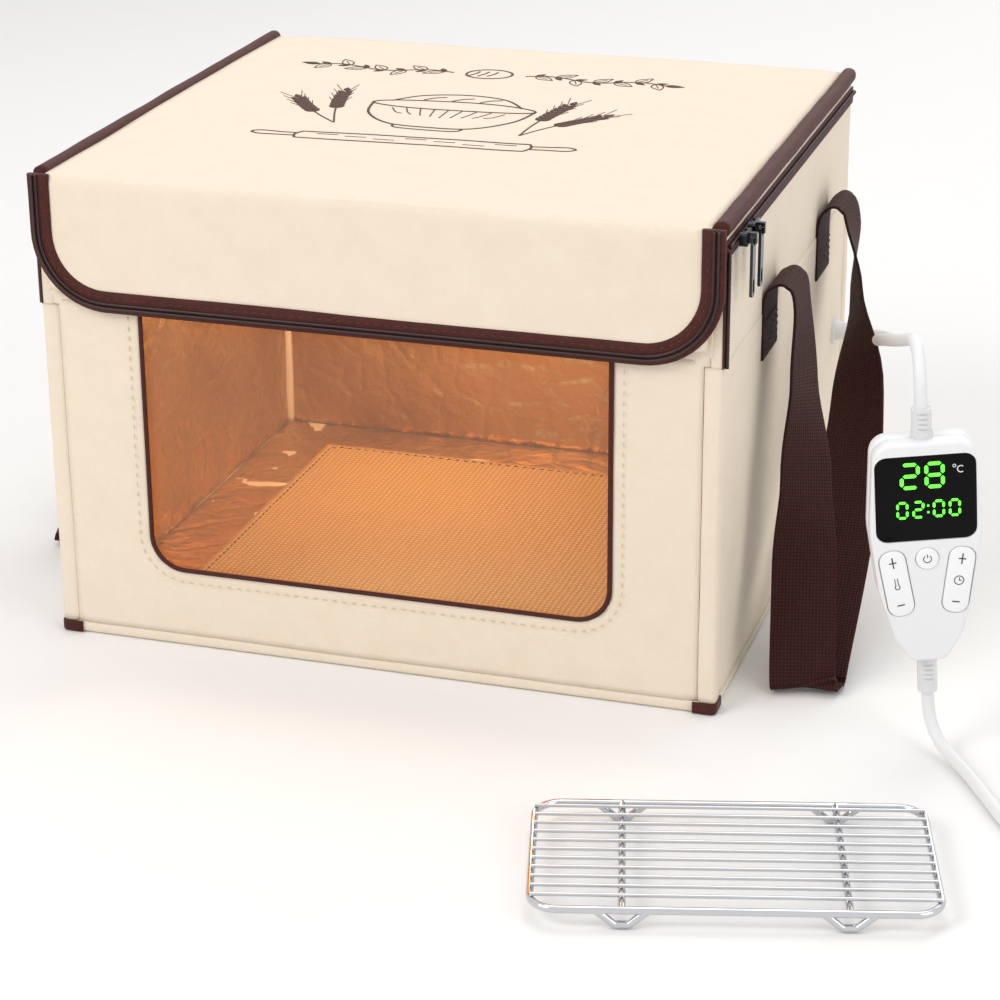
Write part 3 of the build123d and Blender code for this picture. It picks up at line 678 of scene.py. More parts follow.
# ---- lead: the route's points are its control points ----
def nurbs(name, points):
    """A length of the lead along its control points, given in millimetres."""
    curve = bpy.data.curves.new(name, "CURVE")
    curve.dimensions = "3D"
    curve.bevel_depth = LEAD_RADIUS
    curve.bevel_resolution = 5
    curve.resolution_u = 10
    curve.use_fill_caps = True
    spline = curve.splines.new("NURBS")
    spline.points.add(len(points) - 1)
    for point, at in zip(spline.points, points):
        point.co = (at[0] * MM, at[1] * MM, at[2] * MM, 1)
    spline.order_u = 3
    spline.use_endpoint_u = True
    curve.materials.append(JACKET)
    return link(bpy.data.objects.new(name, curve))


HANDSET = (Matrix.Translation((314 * MM, -185 * MM, 119.5 * MM))
           @ Matrix.Rotation(math.radians(17.6), 4, "Z") @ Matrix.Rotation(math.radians(-4), 4, "Y"))
COIL_X, COIL_Y = 484, -262              # the middle of the lead's coil on the floor, in millimetres


def handset_point(z):
    """A point on the handset's own middle line, in millimetres, in the object's frame."""
    return tuple((HANDSET @ Vector((0, 0, z * MM))) / MM)


def wound(angle, reach, z):
    """A point of the lower lead's coil, in millimetres."""
    return (COIL_X + reach * math.cos(angle), COIL_Y + reach * math.sin(angle), z)


def make_lead():
    upper = nurbs("lead_upper", [
        (211, 140, 124), (223, 140, 124), (234.2, 135.2, 124.8), (241.8, 125.6, 126.8), (244.4, 113.6, 130),
        (244.5, 91, 137.5), (246, 50, 151), (253, 0, 168.5), (264, -52, 187), (279.6, -105.4, 205.7),
        (291.4, -139.3, 218.3), (298.4, -159.4, 226.3), (302.5, -171, 227.2), (306, -180.8, 220.4),
        handset_point(90), handset_point(79)])
    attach(upper, "base")
    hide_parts("cord_upper")
    points = [
        handset_point(-85), handset_point(-96), (323.8, -186.5, 13.9), (329.9, -193, 7.4),
        (337.9, -201.2, 4.4), (349, -217, FOOT), (361, -238, FOOT), (374, -262, FOOT), (393, -287, FOOT),
        (420, -304, FOOT), (452, -309, FOOT), (477, -309, FOOT)]
    # three turns in on the floor, a climb of half a turn, three turns out on top of them
    turns, radius, pitch, layer, pieces = 3, 47.0, 8.5, 8.1, 12
    outward = 1 / math.cos(math.pi / pieces) ** 0.5
    step = 2 * math.pi / pieces
    foremost, rearmost = -math.pi / 2, math.pi / 2
    inner = radius - pitch * turns
    for i in range(1, turns * pieces + 1):
        points.append(wound(foremost + step * i, (radius - pitch * i / pieces) * outward, FOOT))
    for i in range(1, pieces // 2):
        rise = layer * (0.5 - 0.5 * math.cos(step * i))
        points.append(wound(foremost + step * i, inner * outward, FOOT + rise))
    for i in range(turns * pieces + 1):
        points.append(wound(rearmost + step * i, (inner + pitch * i / pieces) * outward, FOOT + layer))
    points += [(472, -215, FOOT + layer), (458, -215, FOOT + layer)]
    lower = nurbs("lead_lower", points)
    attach(lower, "base")
    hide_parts("cord_lower", "cord_coil")
    tuple(value * MM for value in points[0])


# ---- soft walls ----
def side_wall(sx):
    """Cloth over the side's boards, up to the zipper tape, with foil inside and a sleeve at each corner."""
    side = "right" if sx > 0 else "left"
    middle, tall = (WALL_LOW + BAND_LOW) / 2, BAND_LOW - WALL_LOW

    def outside(u, v):
        out = HALF_W + 0.0004 + wavy((u, 0, v), sx * 5.0) - tucked(u, SIDE_WIDE, 0.02, 0.0010)
        return Vector((sx * out, u, middle + v))

    def inside(u, v):
        return Vector((sx * (HALF_W - 0.0066 + crinkle(u, v, 2.0, sx, sx)), u, middle + v))

    cloth = panel(f"{side}_wall_cloth", (SIDE_WIDE, tall), CLOTH_CELL, outside, CLOTH, (sx, 0, 0), 0.002)
    fold(cloth)
    dress(cloth, None, "cream_fabric", f"{side}_lower_panel", f"{side}_upper_panel")
    foil = panel(f"{side}_wall_foil", (0.344, tall - 0.0008), FOIL_CELL, inside, FOIL, (-sx, 0, 0), FOIL_THICK)
    fold(foil)
    dress(foil, None, "foil", f"{side}_lower_liner", f"{side}_upper_liner")

    rolls = []
    for sy in (-1, 1):
        path = straight((sx * 0.1956, sy * 0.175, WALL_LOW), (sx * 0.1956, sy * 0.175, BAND_LOW), 44)
        for point in path:
            point.x += 0.0003 * ripple((point.z, sx, sy), 0.03, 1.0)
            point.y += 0.0003 * ripple((point.z, sx, sy), 0.03, 5.0)
        rolls.append(sweep(f"{side}_roll_{sy}", path, oval(0.0108, 0.0112, 20, 0.45), (1, 0, 0), CLOTH))
    sleeves = join(f"{side}_corner_sleeves", rolls)
    fold(sleeves)
    dress(sleeves, None, "cream_fabric", f"{side}_lower_sleeves", f"{side}_upper_sleeves")


def window_outline(inset, pieces):
    """The window's outline at this distance in from its edge; a negative inset lies outside it."""
    return open_topped(0.140 - inset, 0.048 + inset, OPENING_TOP, 0.021 - inset, pieces)


def front_wall():
    """Cloth with the window cut out, its piping and stitches, and the clear film behind them."""
    middle, tall = (WALL_LOW + OPENING_TOP) / 2, OPENING_TOP - WALL_LOW
    film_low = 0.042
    film_tall = OPENING_TOP - film_low

    def outside(u, v):
        out = -HALF_D - 0.0003 + wavy((u, 1, v), 9.0, 0.06, 0.0005) + tucked(u, FRONT_WIDE, 0.012, 0.0008)
        return Vector((u, out, middle + v))

    def pane(u, v):
        return Vector((u, -HALF_D + 0.0026 + 0.0005 * ripple((u, v, 0), 0.09, 4.0), (film_low + OPENING_TOP) / 2 + v))

    cloth = panel("front_wall_cloth", (FRONT_WIDE, tall), 0.0040, outside, CLOTH, (0, -1, 0), 0.0024)
    outline = window_outline(0.0, 7) + [Vector((x, 0, OPENING_TOP + 0.01)) for x in (0.140, -0.140)]
    depths = ((-HALF_D - 0.01) / MM, (-HALF_D + 0.01) / MM)
    cut_out(cloth, slab("window_cutter", outline, depths, None, place=Matrix.Identity(4)))
    for polygon in cloth.data.polygons:
        polygon.use_smooth = True
    dress(cloth, None, "cream_fabric", "front_lower_panel", "front_upper_panel")

    line = [Vector((point.x, -HALF_D - 0.0006, point.z)) for point in spread(window_outline(0.0008, 10), 0.003)]
    piping = sweep("window_piping", line, oval(0.0026, 0.0030, 8), (0, 1, 0), TAPE)
    dress(piping, None, "brown_trim")
    line = [Vector((point.x, -HALF_D - 0.0013, point.z)) for point in window_outline(-0.0065, 10)]
    seam = stitches("window_stitches", line, (0, -1, 0), WINDOW_STITCH, CREAM_THREAD)
    dress(seam, None, "cream_fabric")

    film = panel("window_film", (0.292, film_tall), 0.006, pane, FILM, (0, -1, 0))
    dress(film, None, "window_film", "window_lower_film", "window_upper_film")
    for piece in (cloth, piping, seam, film):
        fold(piece)


def back_wall():
    """Cloth over the back's boards, with foil inside."""
    middle, tall = (WALL_LOW + BAND_LOW) / 2, BAND_LOW - WALL_LOW

    def outside(u, v):
        out = HALF_D + 0.0003 + wavy((u, 2, v), 12.0) - tucked(u, FRONT_WIDE, 0.012, 0.0008)
        return Vector((u, out, middle + v))

    def inside(u, v):
        return Vector((u, HALF_D - 0.0068 + crinkle(u, v, 12.0, 0, 3), middle + v))

    cloth = panel("back_wall_cloth", (FRONT_WIDE, tall), 0.0044, outside, CLOTH, (0, 1, 0), 0.002)
    fold(cloth)
    dress(cloth, None, "cream_fabric", "back_lower_panel", "back_upper_panel")
    foil = panel("back_wall_foil", (0.386, tall - 0.0008), FOIL_CELL, inside, FOIL, (0, -1, 0), FOIL_THICK)
    fold(foil)
    dress(foil, None, "foil", "back_lower_liner", "back_upper_liner")


# ---- base and heating mat ----
def base():
    """The base's skirt with foil on top and a brown binding round each lower corner."""
    bm = bmesh.new()
    bmesh.ops.create_cube(bm, size=1)
    bmesh.ops.scale(bm, vec=(2 * HALF_W + 0.0008, 2 * HALF_D + 0.0008, BASE_TOP), verts=bm.verts)
    bmesh.ops.translate(bm, vec=(0, 0, BASE_TOP / 2), verts=bm.verts)
    bmesh.ops.bevel(bm, geom=bm.edges, offset=0.0022, segments=3, profile=0.5, affect="EDGES", material=-1)
    skirt = mesh_object("base_cloth", bm, CLOTH)
    dress(skirt, "base", "cream_fabric", "base_cover")

    def on_base(u, v):
        return Vector((u, v, BASE_TOP + 0.0001 + 0.00025 * ripple((u, v, 0), 0.02, 21.0)))

    foil = panel("floor_foil", (0.3866, 0.3466), 0.006, on_base, FOIL, (0, 0, 1))
    dress(foil, "base", "foil", "base_liner")

    caps = []
    reach, height = 0.0130, 0.0036
    for sx in (-1, 1):
        for sy in (-1, 1):
            x, y = sx * (HALF_W + 0.0009), sy * (HALF_D + 0.0009)
            corners = [(x - sx * reach, y, height), (x, y, height), (x, y - sy * reach, height)]
            path = corner_path(corners, [0.003], 6)
            caps.append(sweep(f"cap_{sx}_{sy}", path, oval(0.0070, 0.0016, 14, 0.6), (0, 0, 1), TAPE))
    dress(join("corner_binding", caps), "base", "brown_trim", "corner_caps")


def heating_mat():
    """The mat's quilted top, hemmed by a stitched line round its edge."""
    low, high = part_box("mat_sheets")
    top = high.z - 0.0004
    wide, deep = high.x - low.x, high.y - low.y
    hem, quilt = 0.0075, 0.025

    def place(u, v):
        edge = min(wide / 2 - abs(u), deep / 2 - abs(v))
        lift = (0.0005 * ripple((u, v, 0), 0.06, 31.0) + 0.00025 * math.sin(v / quilt * math.pi)
                - edge_round(edge, 0.003))
        pinch = -0.0006 * math.exp(-((edge - hem) / 0.0012) ** 2)
        return Vector((u, v, top + lift + pinch))

    mat = panel("heating_mat", (wide, deep), 0.003, place, MAT, (0, 0, 1), 0.0012)
    dress(mat, "base", "mat_cloth", "mat_sheets")
    x, y, z = wide / 2 - hem, deep / 2 - hem, top + 0.0002
    corners = [(0, -y, z), (x, -y, z), (x, y, z), (-x, y, z), (-x, -y, z), (0, -y, z)]
    seam = stitches("mat_stitches", corner_path(corners, [0.004] * 4, 4), (0, 0, 1), MAT_STITCH, BROWN_THREAD)
    dress(seam, "base", "brown_trim")


# ---- upper band ----
def upper_band():
    """Cloth band round the sides and back, foil inside, with the zipper's tape and coil on it."""
    middle = (BAND_LOW + BAND_TOP) / 2
    tall = BAND_TOP - BAND_LOW + 0.0004
    half_thick = 0.0032
    x, y, front = HALF_W - 0.0031, HALF_D - 0.0031, -HALF_D + 0.0006
    corners = [(x, front, middle), (x, y, middle), (-x, y, middle), (-x, front, middle)]
    rows = 14
    outer = [(tall * (i / rows - 0.5), half_thick) for i in range(rows + 1)]
    profile = outer + [(a, -half_thick) for a, b in reversed(outer)]
    path = even(corner_path(corners, [0.0035, 0.0035], 5), 0.006)
    band = sweep("upper_band_cloth", path, profile, (0, 0, 1), CLOTH)
    band.data.materials.append(FOIL)
    for polygon in band.data.polygons:      # the faces that look into the cabinet are foil
        centre = polygon.center
        into = Vector((-centre.x, -centre.y if abs(centre.y) > 0.17 else 0, 0)).normalized()
        lining = max(abs(centre.x) - 0.1938, abs(centre.y) - 0.1738) < 0.0004
        if polygon.normal.dot(into) > 0.8 and lining:
            polygon.material_index = 1
    for vert in band.data.vertices:
        if abs(vert.co.x) > HALF_W - 0.001 and vert.co.z < BAND_TOP - 0.014:
            slack = abs(wavy((0, vert.co.y, vert.co.z), 3.0, 0.06, 0.0004))
            vert.co.x += math.copysign(slack, vert.co.x)
    bake(bevel(band, 0.0006))
    dress(band, "upper_band", "cream_fabric", "top_band")

    y, z = -HALF_D + 0.003, BAND_LOW + 0.0046
    path = straight((-0.1936, y, z), (0.1936, y, z), 60)
    rim = sweep("front_rim_cloth", path, oval(0.0090, 0.0058, 16, 0.5), (0, 0, 1), CLOTH)
    dress(rim, "upper_band", "cream_fabric", "front_rim")

    tape_top = BAND_TOP - 0.0008
    coil_z = tape_top - 0.0032
    tape_profile = oval(0.0110, 0.0012, 14, 0.5)
    tapes, coils, seams = [], [], []
    for sx in (-1, 1):
        x, y, z = sx * (HALF_W + 0.0006), -HALF_D + 0.0002, tape_top - 0.0055
        path = straight((x, y, z), (x, y + 0.3555, z), 60)
        tapes.append(sweep(f"tape_{sx}", path, tape_profile, (0, 0, 1), TAPE))
        y = -HALF_D + 0.0055
        path = straight((x, y, BAND_LOW + 0.0002), (x, y, tape_top - 0.0110), 10)
        tapes.append(sweep(f"front_tape_{sx}", path, tape_profile, (0, 1, 0), TAPE))
        x = sx * (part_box("zipper_coils")[1].x - 0.0013)
        along = ((x, -HALF_D + 0.004, coil_z), (x, HALF_D - 0.006, coil_z))
        up = ((x, -HALF_D + 0.003, BAND_LOW), (x, -HALF_D + 0.003, coil_z - 0.0025))
        for ends, side in ((along, (0, 0, 1)), (up, (0, 1, 0))):
            coils.append(coil_row(f"coil_{sx}_{side}", spread(ends, 0.0008), side, 0.0026, 8, 0.72))
        x = sx * (HALF_W + 0.0012)
        for drop in (0.0016, 0.0098):
            ends = [(x, -HALF_D + 0.014, tape_top - drop), (x, HALF_D - 0.006, tape_top - drop)]
            seams.append(stitches(f"tape_seam_{sx}_{drop}", ends, (sx, 0, 0), TAPE_STITCH, BROWN_THREAD))
    dress(join("side_tapes", tapes), "upper_band", "brown_trim", "zipper_tapes")
    dress(join("side_coils", coils), "upper_band", "zipper_coil", "zipper_coils")
    dress(join("side_tape_stitches", seams), "upper_band", "brown_trim")


def corner_gussets():
    """Small cream corners that close the front opening behind the flap's rounded ones."""
    plates = []
    low, top, inner, outer = 0.2115, 0.2760, 0.160, 0.1948
    for sx in (-1, 1):
        outline = [(inner, low), (outer, low), (outer, top), (0.1912, top)]
        for angle in (math.radians(10 * k) for k in range(10)):
            outline.append((inner + 0.0312 * math.cos(angle), 0.250 - 0.034 * math.sin(angle)))
        outline = [Vector((sx * x, 0, z)) for x, z in outline]
        plates.append(slab(f"gusset_{sx}", outline, (-179.8, -176.8), CLOTH, place=Matrix.Identity(4)))
    gussets = join("front_corner_gussets", plates)
    for polygon in gussets.data.polygons:
        polygon.use_smooth = False
    bake(bevel(gussets, 0.0006))
    dress(gussets, "upper_band", "cream_fabric")


# ---- lid and flap ----
def lid_and_flap():
    """One cloth from the lid's back edge over its front and down the flap, foil under it, tape round it."""
    line = corner_path([(0, HALF_D, LID_LOW + 0.0012), (0, HALF_D, LID_TOP), (0, FRONT_OUT, LID_TOP),
                        (0, FRONT_OUT, FLAP_LOW + 0.0105)], [0.0035, 0.0052], 9)
    runs = [0.0]
    for a, b in zip(line, line[1:]):
        runs.append(runs[-1] + (b - a).length)
    total, width = runs[-1], 0.3858

    def along(distance):
        """The place at this distance down the section, and which way is out there."""
        i = next((i for i in range(1, len(line)) if distance <= runs[i]), len(line) - 1)
        share = (distance - runs[i - 1]) / (runs[i] - runs[i - 1])
        on = (line[i] - line[i - 1]).normalized()
        return line[i - 1] + (line[i] - line[i - 1]) * share, Vector((0, on.z, -on.y))

    def place(u, v):
        point, out = along(v + total / 2)
        if out.z < 0 or (abs(out.z) < 0.01 and out.y > 0 and point.y < 0):
            out = -out
        slack = wavy((u, v, 5), 2.0, 0.11, 0.0011) - 0.0002
        if point.z < LID_TOP - 0.004 and point.y < 0:
            slack *= 0.5
        return Vector((u, point.y, point.z)) + out * (min(slack, 0.0009) - tucked(u, width, 0.02, 0.0012))

    cover = panel("lid_and_flap_cloth", (width, total), CLOTH_CELL, place, CLOTH, (0, -0.2, 1), 0.0022)
    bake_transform(cover)
    dress(cover, None, "cream_fabric", "lid_panel", "flap_panel")

    def inside(u, v):
        return Vector((u, v, LID_LOW + 0.0006 + 0.0005 * ripple((u, v, 0), 0.02, 41.0)))

    size = (0.3846, 2 * HALF_D - 0.002)
    foil = panel("lid_foil", size, 0.006, inside, FOIL, (0, 0, -1), FOIL_THICK)
    dress(foil, "lid", "foil_wadding", "lid_liner")

    rolls = []
    for sx in (-1, 1):
        x, y, z = sx * 0.1974, HALF_D - 0.0002, LID_LOW + 0.0046
        path = straight((x, y, z), (x, y - 0.3575, z), 90)
        for point in path:
            point.z += 0.0004 * ripple((0, point.y, sx), 0.04, 6.0)
            point.x += 0.0003 * ripple((0, point.y, sx), 0.03, 8.0)
        rolls.append(sweep(f"roll_{sx}", path, oval(0.0090, 0.0092, 18, 0.85), (1, 0, 0), TAPE))
    y, z = HALF_D - 0.0012, LID_LOW + 0.0022
    path = straight((-0.193, y, z), (0.193, y, z), 60)
    rolls.append(sweep("roll_back", path, oval(0.0024, 0.0044, 10), (0, 1, 0), TAPE))
    dress(join("lid_binding_roll", rolls), "lid", "brown_trim", "lid_binding")
    flap_binding()


def flap_outline(inset):
    """The flap's outline at this distance in from its outer edge."""
    return open_topped(0.202 - inset, FLAP_LOW + inset, LID_TOP - 0.0012, 0.045 - inset, 14)


def flap_binding():
    """Tape round the flap, with its half of the zipper: two coils and a row of stitches."""
    y = FRONT_OUT + 0.0011
    line = [Vector((p.x, y + 0.0002 * ripple((p.x, 0, p.z), 0.03, 2.0), p.z))
            for p in even(flap_outline(0.0065), 0.006)]
    tape = sweep("flap_binding_tape", line, oval(0.0044, 0.0130, 26, 0.5), (0, 1, 0), TAPE)
    dress(tape, "flap", "brown_trim", "flap_binding")
    rows = []
    for inset in (0.0034, 0.0059):
        line = [Vector((p.x, y - 0.0026, p.z)) for p in spread(even(flap_outline(inset), 0.002), 0.0009)]
        rows.append(coil_row(f"flap_coil_{inset}", line, (0, 1, 0), 0.0022, 6, 0.6))
    dress(join("flap_coils", rows), "flap", "zipper_coil")
    line = [Vector((p.x, y - 0.0022, p.z)) for p in flap_outline(0.0092)]
    dress(stitches("flap_stitches", line, (0, -1, 0), FLAP_STITCH, BROWN_THREAD), "flap", "brown_trim")


# ---- straps ----
def strap_path(sx, lean, folded):
    """The strap's stations from one sewn end, over and down in a loop, to the other: X, Y and Z in
    millimetres and the width's turn in degrees. A low value of folded draws the upper loop in."""
    front, back, x, floor, out, swing = -64, 90, 201.3, 1.4, 44, 202
    bottom = front - lean + 23
    rise = back - bottom
    stations = [
        (x, front, 178, 90), (x, front, 214, 90), (x + 0.14 * out, front, 223, 90), (x + 0.3 * out, front, 223, 90),
        (x + 0.42 * out, front - 0.02 * lean, 212, 90), (x + 0.52 * out, front - 0.12 * lean, 165, 80),
        (x + 0.68 * out, front - 0.38 * lean, 112, 55), (x + 0.8 * out, front - 0.68 * lean, 62, 25),
        (x + 0.92 * out, front - 0.98 * lean, 14, 17), (x + 0.95 * out, front - lean, 5, 16),
        (x + 0.97 * out, front - lean + 6, floor, 16), (x + out, front - lean + 14, 3.4, 16),
        (x + out, bottom, 12, 12), (x + 0.96 * out, bottom + 0.37 * rise, 60, 0),
        (x + 0.8 * out, bottom + 0.73 * rise, 118, -35), (x + 0.58 * out, bottom + 0.91 * rise, 172, -70),
        (x + 0.42 * out, back - 0.01 * rise, 214, -90), (x + 0.3 * out, back, 225, -90),
        (x + 0.14 * out, back, 225, -90), (x, back, 214, -90), (x, back, 178, -90)]
    path = []
    for a, y, z, turn in stations:
        share = folded + (1 - folded) * min(max((200 - z) / 140, 0), 1)
        height = swing + (z - swing) * folded if z > swing else z
        path.append((Vector((sx * (x + (a - x) * share), y, height)) * MM, turn))
    return path


def smooth_stations(stations, pieces=7):
    """Catmull-Rom points between the stations, with the turn eased along."""
    out = []
    last = len(stations) - 1
    for i in range(last):
        p0, p1, p2, p3 = (stations[min(max(k, 0), last)][0] for k in (i - 1, i, i + 1, i + 2))
        t1, t2 = stations[i][1], stations[i + 1][1]
        for k in range(pieces):
            t = k / pieces
            at = 0.5 * ((2 * p1) + (p2 - p0) * t + (2 * p0 - 5 * p1 + 4 * p2 - p3) * t * t
                        + (3 * p1 - p0 - 3 * p2 + p3) * t ** 3)
            out.append((at, t1 + (t2 - t1) * (t * t * (3 - 2 * t))))
    return out + [stations[-1]]


def strap(side, sx, lean, folded):
    """One strap: the loop, which swings, and its two sewn ends with their boxed stitches."""
    stations = []
    for at, turn in smooth_stations(strap_path(sx, lean, folded)):
        turn = math.radians(turn)
        stations.append((Vector((at.x, at.y, max(at.z, 0.0031))), Vector((sx * math.cos(turn), math.sin(turn), 0))))
    near = [i for i, (at, _) in enumerate(stations) if at.z < SWING and abs(at.x) < 0.2014]
    first = max(i for i in near if i < len(stations) / 2)
    last = min(i for i in near if i > len(stations) / 2)
    web = ribbon(f"{side}_webbing", stations[first:last + 1])
    lowest = min(vert.co.z for vert in web.data.vertices)
    soft = 0.006
    for vert in web.data.vertices:      # the loop's foot rests on the floor and its edges flatten there
        if vert.co.z < soft:
            vert.co.z = 0.0006 + (vert.co.z - lowest) * 0.0054 / (soft - lowest)
    dress(web, f"{side}_handle", "brown_trim", f"{side}_strap")
    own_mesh(web)
    ends = [ribbon(f"{side}_end_{i}", part) for i, part in enumerate((stations[:first + 2], stations[last - 1:]))]
    dress(join(f"{side}_webbing_ends", ends), "upper_band", "brown_trim")
    seams = []
    low, high, half = 0.1805, 0.2005, 0.0145
    box = [(-half, low), (half, low), (half, high), (-half, high), (-half, low), (half, high)]
    for y in (-0.064, 0.090):
        for i, shape in enumerate((box, [(half, low), (-half, high)])):
            line = [Vector((sx * 0.2027, y + a, z)) for a, z in shape]
            seams.append(stitches(f"{side}_box_{y}_{i}", line, (sx, 0, 0), BOX_STITCH, BROWN_THREAD))
    dress(join(f"{side}_box_stitches", seams), "upper_band", "brown_trim")


# ---- handset: its own X and Z lie in its face, its Y runs from front to back, all in millimetres ----
OUTLINE = ((-27, 64), (27, 64), (30, 14), (26, -22), (18, -50), (9.5, -64), (-9.5, -64), (-18, -50),
           (-26, -22), (-30, 14))
CORNERS = (12, 12, 60, 50, 26, 7, 7, 26, 50, 60)
KEY_FRONT, KEY_BACK = -11.9, -9.2
ON_LENS, ON_KEY = -10.78, -11.88        # where the lit and printed marks start, just behind each surface
KEY_X, KEY_Z, KEY_TURN = 16.5, -16, 9   # the two long keys, on each side of the middle line


def shield():
    """The handset's outline with its corners rounded, in metres."""
    points = [Vector((x, 0, z * 126 / 128)) * MM for x, z in OUTLINE]
    out = []
    for i, at in enumerate(points):
        after = points[(i + 1) % len(points)]
        out += round_turn(points[i - 1], at, after, CORNERS[i] * 0.8 * MM, 6)
    return out


def pocket(wide, high, x, z, radius, turn=0.0):
    """A rounded rectangle's outline about a point, in metres."""
    a, b = wide / 2 - radius, high / 2 - radius
    points = []
    for sx, sz, begin in ((1, 1, 0), (-1, 1, 90), (-1, -1, 180), (1, -1, 270)):
        for angle in (math.radians(begin + 90 * k / 6) for k in range(7)):
            points.append(Vector((sx * a + radius * math.cos(angle), 0, sz * b + radius * math.sin(angle))) * MM)
    tilt = Matrix.Rotation(math.radians(turn), 3, "Y")
    return [tilt @ point + Vector((x * MM, 0, z * MM)) for point in points]


def drawn_out(outlines, front, back):
    """A bmesh of outlines in X and Z, in metres, each extruded from one depth to another."""
    bm = bmesh.new()
    for outline in outlines:
        face = bm.faces.new([bm.verts.new((x, front * MM, z)) for x, z in outline])
        made = bmesh.ops.extrude_face_region(bm, geom=[face])["geom"]
        verts = [piece for piece in made if isinstance(piece, bmesh.types.BMVert)]
        bmesh.ops.translate(bm, vec=(0, (back - front) * MM, 0), verts=verts)
    bmesh.ops.recalc_face_normals(bm, faces=bm.faces)
    return bm


def slab(name, outline, depths, material, round_off=0, place=HANDSET):
    """An outline extruded between two depths, its front and back edges rounded."""
    bm = drawn_out([[(point.x, point.z) for point in outline]], *depths)
    if round_off:
        rims = [edge for edge in bm.edges if abs(edge.verts[0].co.y - edge.verts[1].co.y) < 1e-7]
        bmesh.ops.bevel(bm, geom=rims, offset=round_off * MM, segments=3, profile=0.5, affect="EDGES", material=-1)
    bmesh.ops.transform(bm, matrix=place, verts=bm.verts)
    return mesh_object(name, bm, material)


def mark(name, shapes, y, material):
    """Thin printed or lit marks on the handset, each shape an outline of X and Z."""
    bm = drawn_out([[(x * MM, z * MM) for x, z in shape] for shape in shapes], y, y - 0.12)
    bmesh.ops.transform(bm, matrix=HANDSET, verts=bm.verts)
    return mesh_object(name, bm, material, smooth=False)


SEGMENTS = {"0": "abcdef", "2": "abged", "8": "abcdefg"}


def digit(symbol, x, z, wide, high, thick):
    """One seven-segment numeral as outlines, from its lower left corner."""
    middle = z + high / 2
    bars = {
        "a": (x, z + high, x + wide, z + high), "g": (x, middle, x + wide, middle), "d": (x, z, x + wide, z),
        "f": (x, middle, x, z + high), "b": (x + wide, middle, x + wide, z + high),
        "e": (x, z, x, middle), "c": (x + wide, z, x + wide, middle)}
    shapes = []
    t = thick / 2
    gap = thick * 0.18 + t * 0.3
    for key in SEGMENTS[symbol]:
        x0, z0, x1, z1 = bars[key]
        if z0 == z1:
            x0, x1 = x0 + gap, x1 - gap
            shapes.append([(x0, z0), (x0 + t, z0 + t), (x1 - t, z0 + t), (x1, z0), (x1 - t, z0 - t), (x0 + t, z0 - t)])
        else:
            z0, z1 = z0 + gap, z1 - gap
            shapes.append([(x0, z0), (x0 - t, z0 + t), (x0 - t, z1 - t), (x0, z1), (x0 + t, z1 - t), (x0 + t, z0 + t)])
    return shapes


def ring_shape(x, z, radius, thick, start=0, end=360, steps=24):
    """Quads that make a ring or an arc."""
    inner, outer = radius - thick / 2, radius + thick / 2
    shapes = []
    for i in range(steps):
        a, b = (math.radians(start + (end - start) * k / steps) for k in (i, i + 1))
        spots = ((inner, a), (outer, a), (outer, b), (inner, b))
        shapes.append([(x + reach * math.cos(angle), z + reach * math.sin(angle)) for reach, angle in spots])
    return shapes


def bar_shape(x, z, wide, high):
    a, b = wide / 2, high / 2
    return [(x - a, z - b), (x + a, z - b), (x + a, z + b), (x - a, z + b)]


def tilted(shapes, x, z, turn):
    """Shapes turned about a point of the handset's face."""
    c, s = math.cos(math.radians(turn)), math.sin(math.radians(turn))
    return [[(x + (a - x) * c - (b - z) * s, z + (a - x) * s + (b - z) * c) for a, b in shape] for shape in shapes]


def flat_faces(piece):
    """Large faces with many corners are shaded flat, so that the rounded edges beside them stay clean."""
    for polygon in piece.data.polygons:
        if len(polygon.vertices) > 4:
            polygon.use_smooth = False


